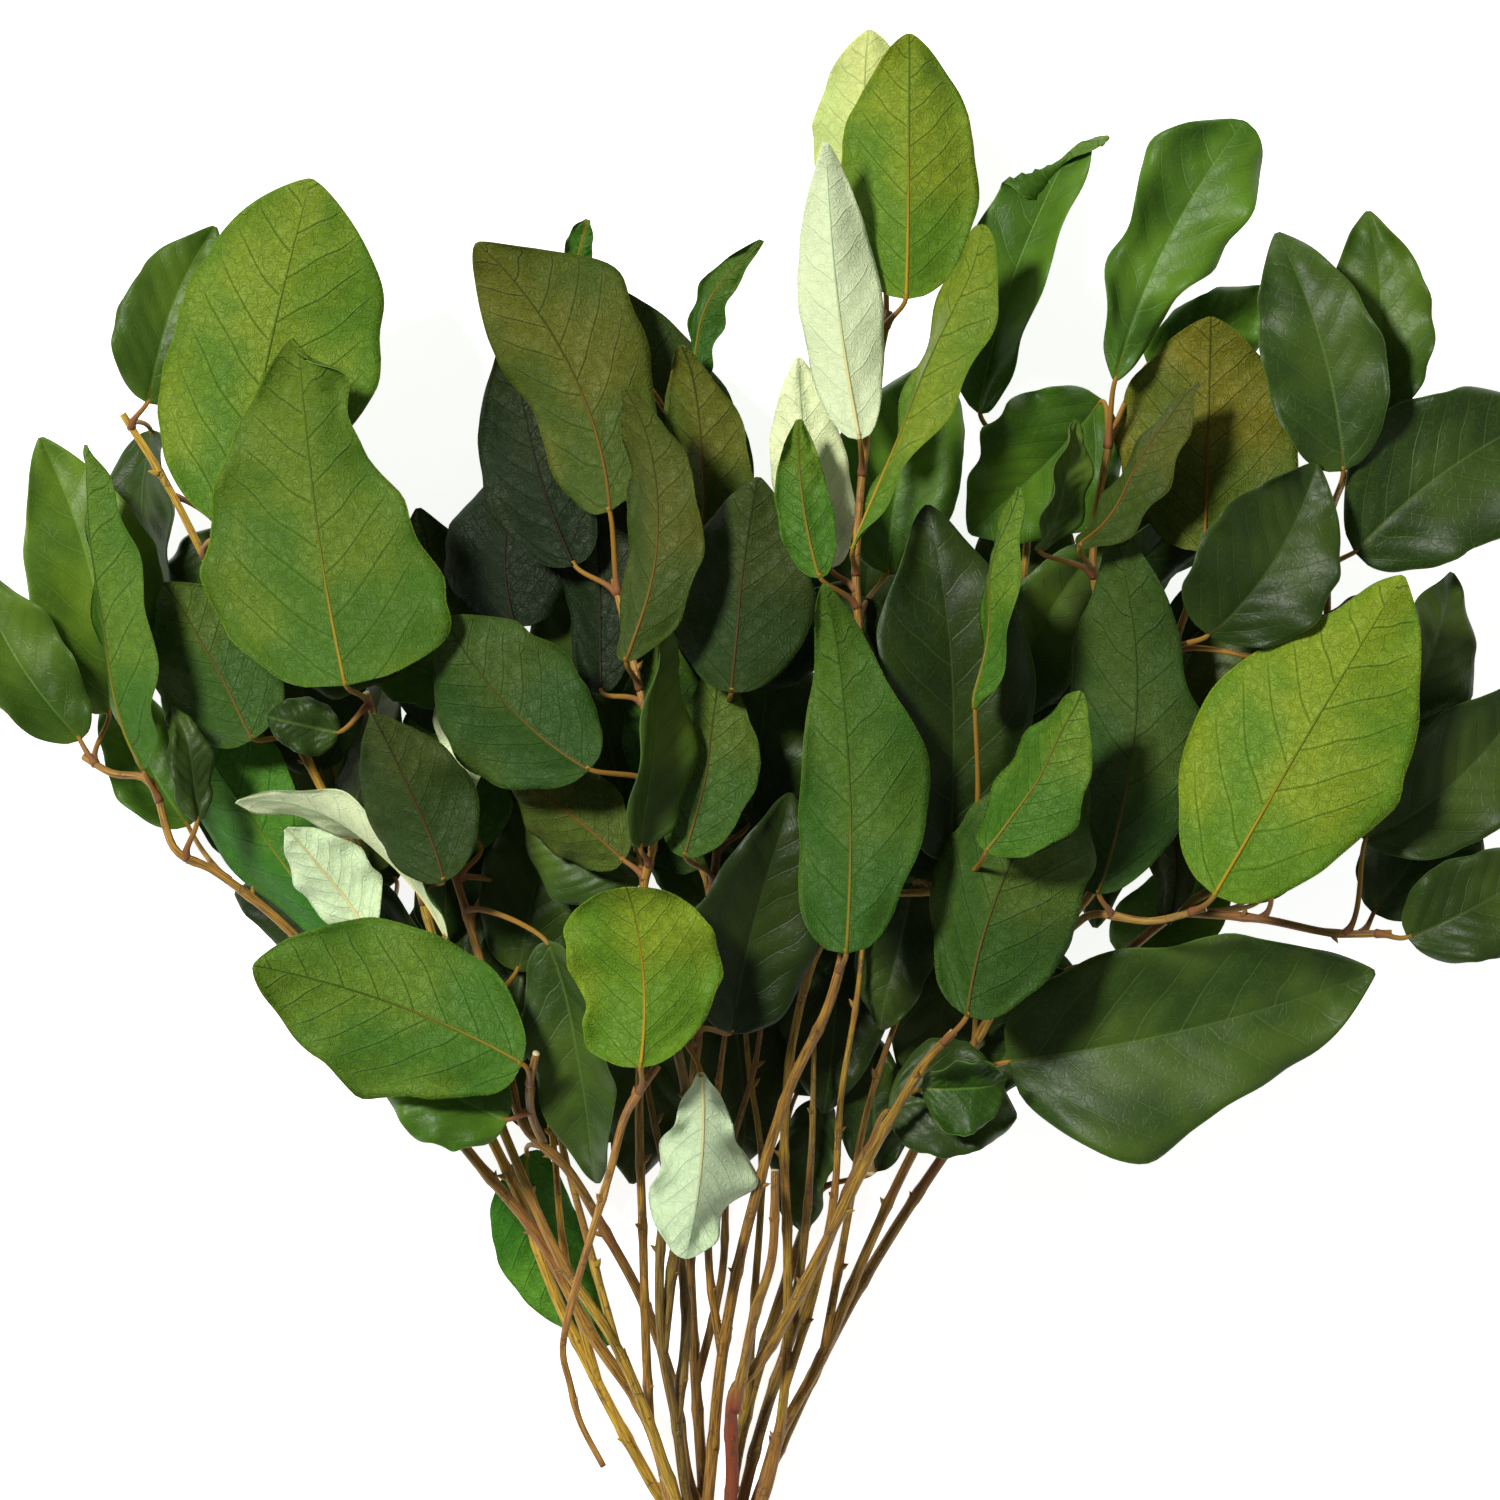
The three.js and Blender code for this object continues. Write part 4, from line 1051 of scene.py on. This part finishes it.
# ---- the pieces --------------------------------------------------------------------------------

LEAF_SKINS = {tone: (upper_material(tone, up), under_material(tone, down), rib_material(tone, down))
              for tone, (up, down) in TONES.items()}
LEAF_ORDER = list(LEAF_SKINS)
STALK = stalk_material()
CUT_WOOD = cut_wood_material()


def add_leaf(bm, spec, courses, seed, rows, columns):
    blade = Blade(spec, seed)
    COVER.update(shaded_cells(blade))
    add_blade(bm, blade, rows, columns)
    add_midrib(bm, blade, rows // 2)
    add_stalk(bm, blade, courses)


def make_leaf(spec, courses, seed, name, rows, columns):
    bm = bmesh.new()
    blade_layers(bm)
    add_leaf(bm, spec, courses, seed, rows, columns)
    return finish_piece(bm, name, [*LEAF_SKINS[spec["tone"]], STALK])


def node_places(course, draw):
    """Distances in mm along a course where it has a joint, 20 to 38 mm apart."""
    run = run_lengths(smooth_course(course, 8))[-1]
    places, at = [], draw.uniform(12, 30)
    while at < run - 6:
        places.append(at)
        at += draw.uniform(20, 38)
    return places


def add_bud(bm, at, out, along, size):
    """A small pointed bud, or the stub of a shed leaf, leaning forward from a joint."""
    tip = at + (out * 0.9 + along * 0.7).normalized() * size
    points = [at.lerp(tip, k / 4) for k in range(5)]
    add_bar(bm, points, lambda s, a: size * 0.33 * max(0.08, 1 - (s / size) ** 1.6), 7, slot=0)


def make_stem(stem, seed):
    bm = bmesh.new()
    draw = random.Random(seed)
    for index, course in enumerate([stem["path"], *stem["twigs"], *stem.get("spurs", [])]):
        joints = node_places(course, draw)
        points = smooth_course(course, 2.6)
        run = run_lengths(points)[-1]
        start = stem["foot"] if index == 0 else stem["end"] * 1.3
        end = stem["end"] if index <= len(stem["twigs"]) else SPUR_END
        lean = draw.uniform(0, 6)

        def radius(s, angle):
            swell = sum(math.exp(-((s - j) / JOINT_LENGTH) ** 2) for j in joints if abs(s - j) < 9)
            facet = FACET * math.sin(3 * angle + s / 30 + lean)
            return (start + (end - start) * s / run) * (1 + JOINT_SWELL * swell + facet)

        add_bar(bm, points, radius, 12, slot=0, cap_slot=1)
        lengths = run_lengths(points)
        for number, joint in enumerate(joints):
            k = min(range(len(points)), key=lambda i: abs(lengths[i] - joint))
            ahead = (points[min(k + 1, len(points) - 1)] - points[k - 1]).normalized()
            out = ahead.orthogonal().normalized()
            turned = number * BUD_TURN
            out = out * math.cos(turned) + ahead.cross(out) * math.sin(turned)
            if points[k].z < LOW_STEM:
                out.z = abs(out.z)
            girth = start + (end - start) * joint / run
            add_bud(bm, points[k] + out * girth * 0.7, out, ahead, draw.uniform(2.0, 3.6))
    bark = bark_material(stem["name"], stem["bark"], stem.get("red_foot"))
    piece = finish_piece(bm, stem["name"] + "_bark", [bark, CUT_WOOD])
    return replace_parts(piece, stem["name"])


for number, stem in enumerate(STEMS):
    make_stem(stem, number + 1)
    courses = [stem["path"], *stem["twigs"]]
    for index, spec in enumerate(stem["leaves"]):
        seed = number * 20 + index
        piece = make_leaf(spec, courses, seed, spec["name"] + "_blade", BLADE_ROWS, BLADE_COLUMNS)
        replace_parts(piece, spec["name"])
    for index, spec in enumerate(stem["inner"]):
        seed = 500 + number * 20 + index
        name = f"{stem['name']}_inner_leaf_{index + 1}"
        make_leaf(spec, courses, seed, name, BLADE_ROWS, BLADE_COLUMNS)


# ---- deep leaves that fill the head -------------------------------------------------------------
# The head's outline seen from above, in mm from the waist, anticlockwise from the lowest leaves.
HEAD_OUTLINE = [
    (-58, 122), (-34, 108), (-14, 98), (26, 97), (40, 128), (54, 116), (88, 122), (116, 122),
    (200, 184), (182, 262), (176, 328), (130, 358), (74, 362), (38, 304), (16, 322), (-4, 352),
    (-58, 342), (-76, 300), (-92, 316), (-150, 322), (-186, 300), (-176, 236), (-150, 196), (-95, 142),
]
DEEP_TRIES = 6500
CHOOSY_SHARE = 0.4  # of the tries, which take only leaves that hide bare places
DEEP_LEAVES = 100
BARE_CELLS = 7  # bare cells that a deep leaf must hide in those tries
DEEP_CELLS = (12, 6)  # of the plain blade that is tried in each place
CLEARANCE = 1.8
LONGEST_STALK = 40


def in_head(x, y):
    """Whether a place lies inside the head's outline, by counting the edges to its right."""
    crossed = False
    for (x0, y0), (x1, y1) in zip(HEAD_OUTLINE, HEAD_OUTLINE[1:] + HEAD_OUTLINE[:1]):
        if (y0 > y) != (y1 > y) and x < x0 + (y - y0) / (y1 - y0) * (x1 - x0):
            crossed = not crossed
    return crossed


def ceiling(y):
    """The greatest height of a deep leaf, lower where the stems run bare over it."""
    return min(96, 24 + 0.55 * max(0, y - 100))


def deep_spec(draw, courses):
    """A leaf springing from somewhere along a stem and heading roughly outwards."""
    points = smooth_course(draw.choice(courses), 6)
    at = points[int(len(points) * draw.uniform(0.30, 0.97))]
    turn = draw.gauss(0, 34) if draw.random() < 0.65 else draw.uniform(-180, 180)
    heading = math.atan2(at.y - 30, at.x) + math.radians(turn)
    ahead = Vector((math.cos(heading), math.sin(heading), 0))
    base = at + ahead * draw.uniform(4, 10) + UP * draw.uniform(-34, 10)
    base.z = max(base.z, draw.uniform(7, 14))
    length = draw.uniform(42, 86)
    tip = base + ahead * length + UP * draw.uniform(-14, 10)
    roll = draw.gauss(0, 28) + (180 if draw.random() < 0.4 else 0)
    tone = draw.choice(("dark", "dark", "gloss", "dark", "fresh", "olive"))
    return leaf("", base, tip, length * draw.uniform(0.48, 0.62), roll, draw.uniform(4, 18), 12,
                draw.uniform(2, 6), draw.gauss(0, 4), draw.gauss(0, 12), tone)


def fits(spec, courses, seed):
    """Whether a plain copy of the leaf stays in the head, above the surface and clear of all else."""
    blade = Blade(spec, seed)
    rows, columns = DEEP_CELLS
    points = []
    for i in range(rows + 1):
        row = blade.row(i / rows)
        points += [blade.point(i / rows, 2 * j / columns - 1, row, 0)[0] for j in range(columns + 1)]
    if not all(in_head(p.x, p.y) and 5 < p.z < ceiling(p.y) for p in points):
        return False
    faces = [(k, k + 1, k + columns + 2, k + columns + 1) for i in range(rows)
             for k in range(i * (columns + 1), i * (columns + 1) + columns)]
    stalk = [place(p) for p in stalk_course(blade, courses)]
    if (stalk[-1] - stalk[0]).length > LONGEST_STALK * MM:
        return False
    free = stalk[len(stalk) // 4:]
    sheets = [BVHTree.FromPolygons([place(p + blade.face * off) for p in points], faces)
              for off in (-CLEARANCE, CLEARANCE)]
    reached = [place(p) for p in points] + stalk
    low = Vector([min(p[i] for p in reached) - 2 * MM for i in range(3)])
    high = Vector([max(p[i] for p in reached) + 2 * MM for i in range(3)])
    for its_low, its_high, tree in STANDING:
        if any(low[i] > its_high[i] or high[i] < its_low[i] for i in range(3)):
            continue
        if any(sheet.overlap(tree) for sheet in sheets):
            return False
        if any(tree.ray_cast(a, b - a, (b - a).length)[0] for a, b in zip(free, free[1:])):
            return False
    return True


def make_deep_leaves():
    draw = random.Random(11)
    made = {stem["name"]: bmesh.new() for stem in STEMS}
    for bm in made.values():
        blade_layers(bm)
    count = 0
    for attempt in range(DEEP_TRIES):
        stem = draw.choice(STEMS)
        courses = [stem["path"], *stem["twigs"]]
        spec = deep_spec(draw, courses)
        fresh_cells = shaded_cells(Blade(spec, attempt)) - COVER
        useful = len(fresh_cells) >= BARE_CELLS or attempt > DEEP_TRIES * CHOOSY_SHARE
        if count < DEEP_LEAVES and useful and fits(spec, courses, attempt):
            bm = bmesh.new()
            blade_layers(bm)
            add_leaf(bm, spec, courses, attempt, INNER_ROWS, INNER_COLUMNS)
            keep_clear_of(bm)
            skins = LEAF_ORDER.index(spec["tone"]) * 3
            for face in bm.faces:
                face.material_index = 0 if face.material_index == 3 else face.material_index + 1 + skins
            loose = bpy.data.meshes.new("loose")
            bm.to_mesh(loose)
            bm.free()
            made[stem["name"]].from_mesh(loose)
            bpy.data.meshes.remove(loose)
            count += 1
    skins = [skin for tone in LEAF_ORDER for skin in LEAF_SKINS[tone]]
    for name, bm in made.items():
        if bm.faces:
            finish_piece(bm, name + "_deep_leaves", [STALK, *skins])


make_deep_leaves()


def make_band():
    """Three turns of a flat elastic band, pulled into an oval round the stems."""
    half = (BAND_HIGH - BAND_LOW) / 2
    middle = (BAND_HIGH + BAND_LOW) / 2
    bm = bmesh.new()
    for turn, (offset, tilt) in enumerate(((-2.3, 0.5), (0.1, -0.7), (2.4, 0.4))):
        grid = bmesh.ops.create_grid(bm, x_segments=72, y_segments=10, size=1)["verts"]
        faces = {f for v in grid for f in v.link_faces}
        uv = bm.loops.layers.uv.verify()
        for face in faces:
            face.smooth = True
            for loop in face.loops:
                loop[uv].uv = ((loop.vert.co.x + 1) / 2, (loop.vert.co.y + 1) / 2)
        for vert in grid:
            around = (vert.co.x + 1) * math.pi
            section = (vert.co.y + 1) * math.pi
            wide = 1.05 * math.copysign(abs(math.cos(section)) ** 0.6, math.cos(section))
            deep = 0.5 * math.copysign(abs(math.sin(section)) ** 0.6, math.sin(section))
            inset = (0.62 - deep) * MM
            vert.co = middle + Vector((
                (half.x - inset) * math.cos(around),
                (offset + wide + tilt * math.sin(around + turn)) * MM,
                (half.z - inset) * math.sin(around),
            ))
        bmesh.ops.remove_doubles(bm, verts=grid, dist=1e-6)
    bmesh.ops.recalc_face_normals(bm, faces=bm.faces)
    piece = finish_piece(bm, "rubber_band_turns", [rubber_material()])
    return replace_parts(piece, "rubber_band")


make_band()


# ---- the studio --------------------------------------------------------------------------------

def make_floor():
    bm = bmesh.new()
    bmesh.ops.create_grid(bm, x_segments=1, y_segments=1, size=4.0)
    mesh = bpy.data.meshes.new("studio_floor")
    bm.to_mesh(mesh)
    bm.free()
    mesh.materials.append(floor_material())
    floor = bpy.data.objects.new("studio_floor", mesh)
    bpy.context.collection.objects.link(floor)


def aim(thing, target):
    thing.rotation_euler = (Vector(target) - thing.location).to_track_quat("-Z", "Y").to_euler()


def add_lamp(name, place_at, size, power, colour):
    data = bpy.data.lights.new(name, "AREA")
    data.shape = "DISK"
    data.size = size
    data.energy = power
    data.color = colour
    lamp = bpy.data.objects.new(name, data)
    lamp.location = place_at
    bpy.context.collection.objects.link(lamp)
    aim(lamp, (0.0, 0.05, 0.05))


def make_world():
    world = bpy.data.worlds.new("studio")
    world.use_nodes = True
    sky = world.node_tree.nodes["Background"]
    sky.inputs[0].default_value = (1.0, 1.0, 1.0, 1.0)
    sky.inputs[1].default_value = 0.17
    bpy.context.scene.world = world


VIEW_WIDTH = 450 * MM  # the stretch of the bunch that the camera frames
VIEW_MIDDLE = place((10.5, 245, 0))
VIEW_LEVEL = 70 * MM  # the height at which that stretch is measured
CAMERA_HEIGHT = 2.6


def make_camera():
    data = bpy.data.cameras.new("camera")
    data.sensor_width = 36.0
    data.lens = data.sensor_width * CAMERA_HEIGHT / VIEW_WIDTH
    camera = bpy.data.objects.new("camera", data)
    camera.location = (VIEW_MIDDLE.x, VIEW_MIDDLE.y, VIEW_LEVEL + CAMERA_HEIGHT)
    bpy.context.collection.objects.link(camera)
    bpy.context.scene.camera = camera


def limit_bounces():
    """Leaves lie close over leaves, so a few bounces already light the gaps between them."""
    cycles = bpy.context.scene.cycles
    cycles.max_bounces = 4
    cycles.diffuse_bounces = 2
    cycles.glossy_bounces = 1
    cycles.transmission_bounces = 2


make_floor()
make_world()
limit_bounces()
add_lamp("key", (-0.9, 0.75, 1.9), 0.36, 56.0, (1.0, 0.98, 0.94))
add_lamp("fill", (1.6, -0.5, 1.5), 1.4, 3.0, (0.98, 0.99, 1.0))
make_camera()
bpy.context.scene.view_settings.view_transform = "Standard"
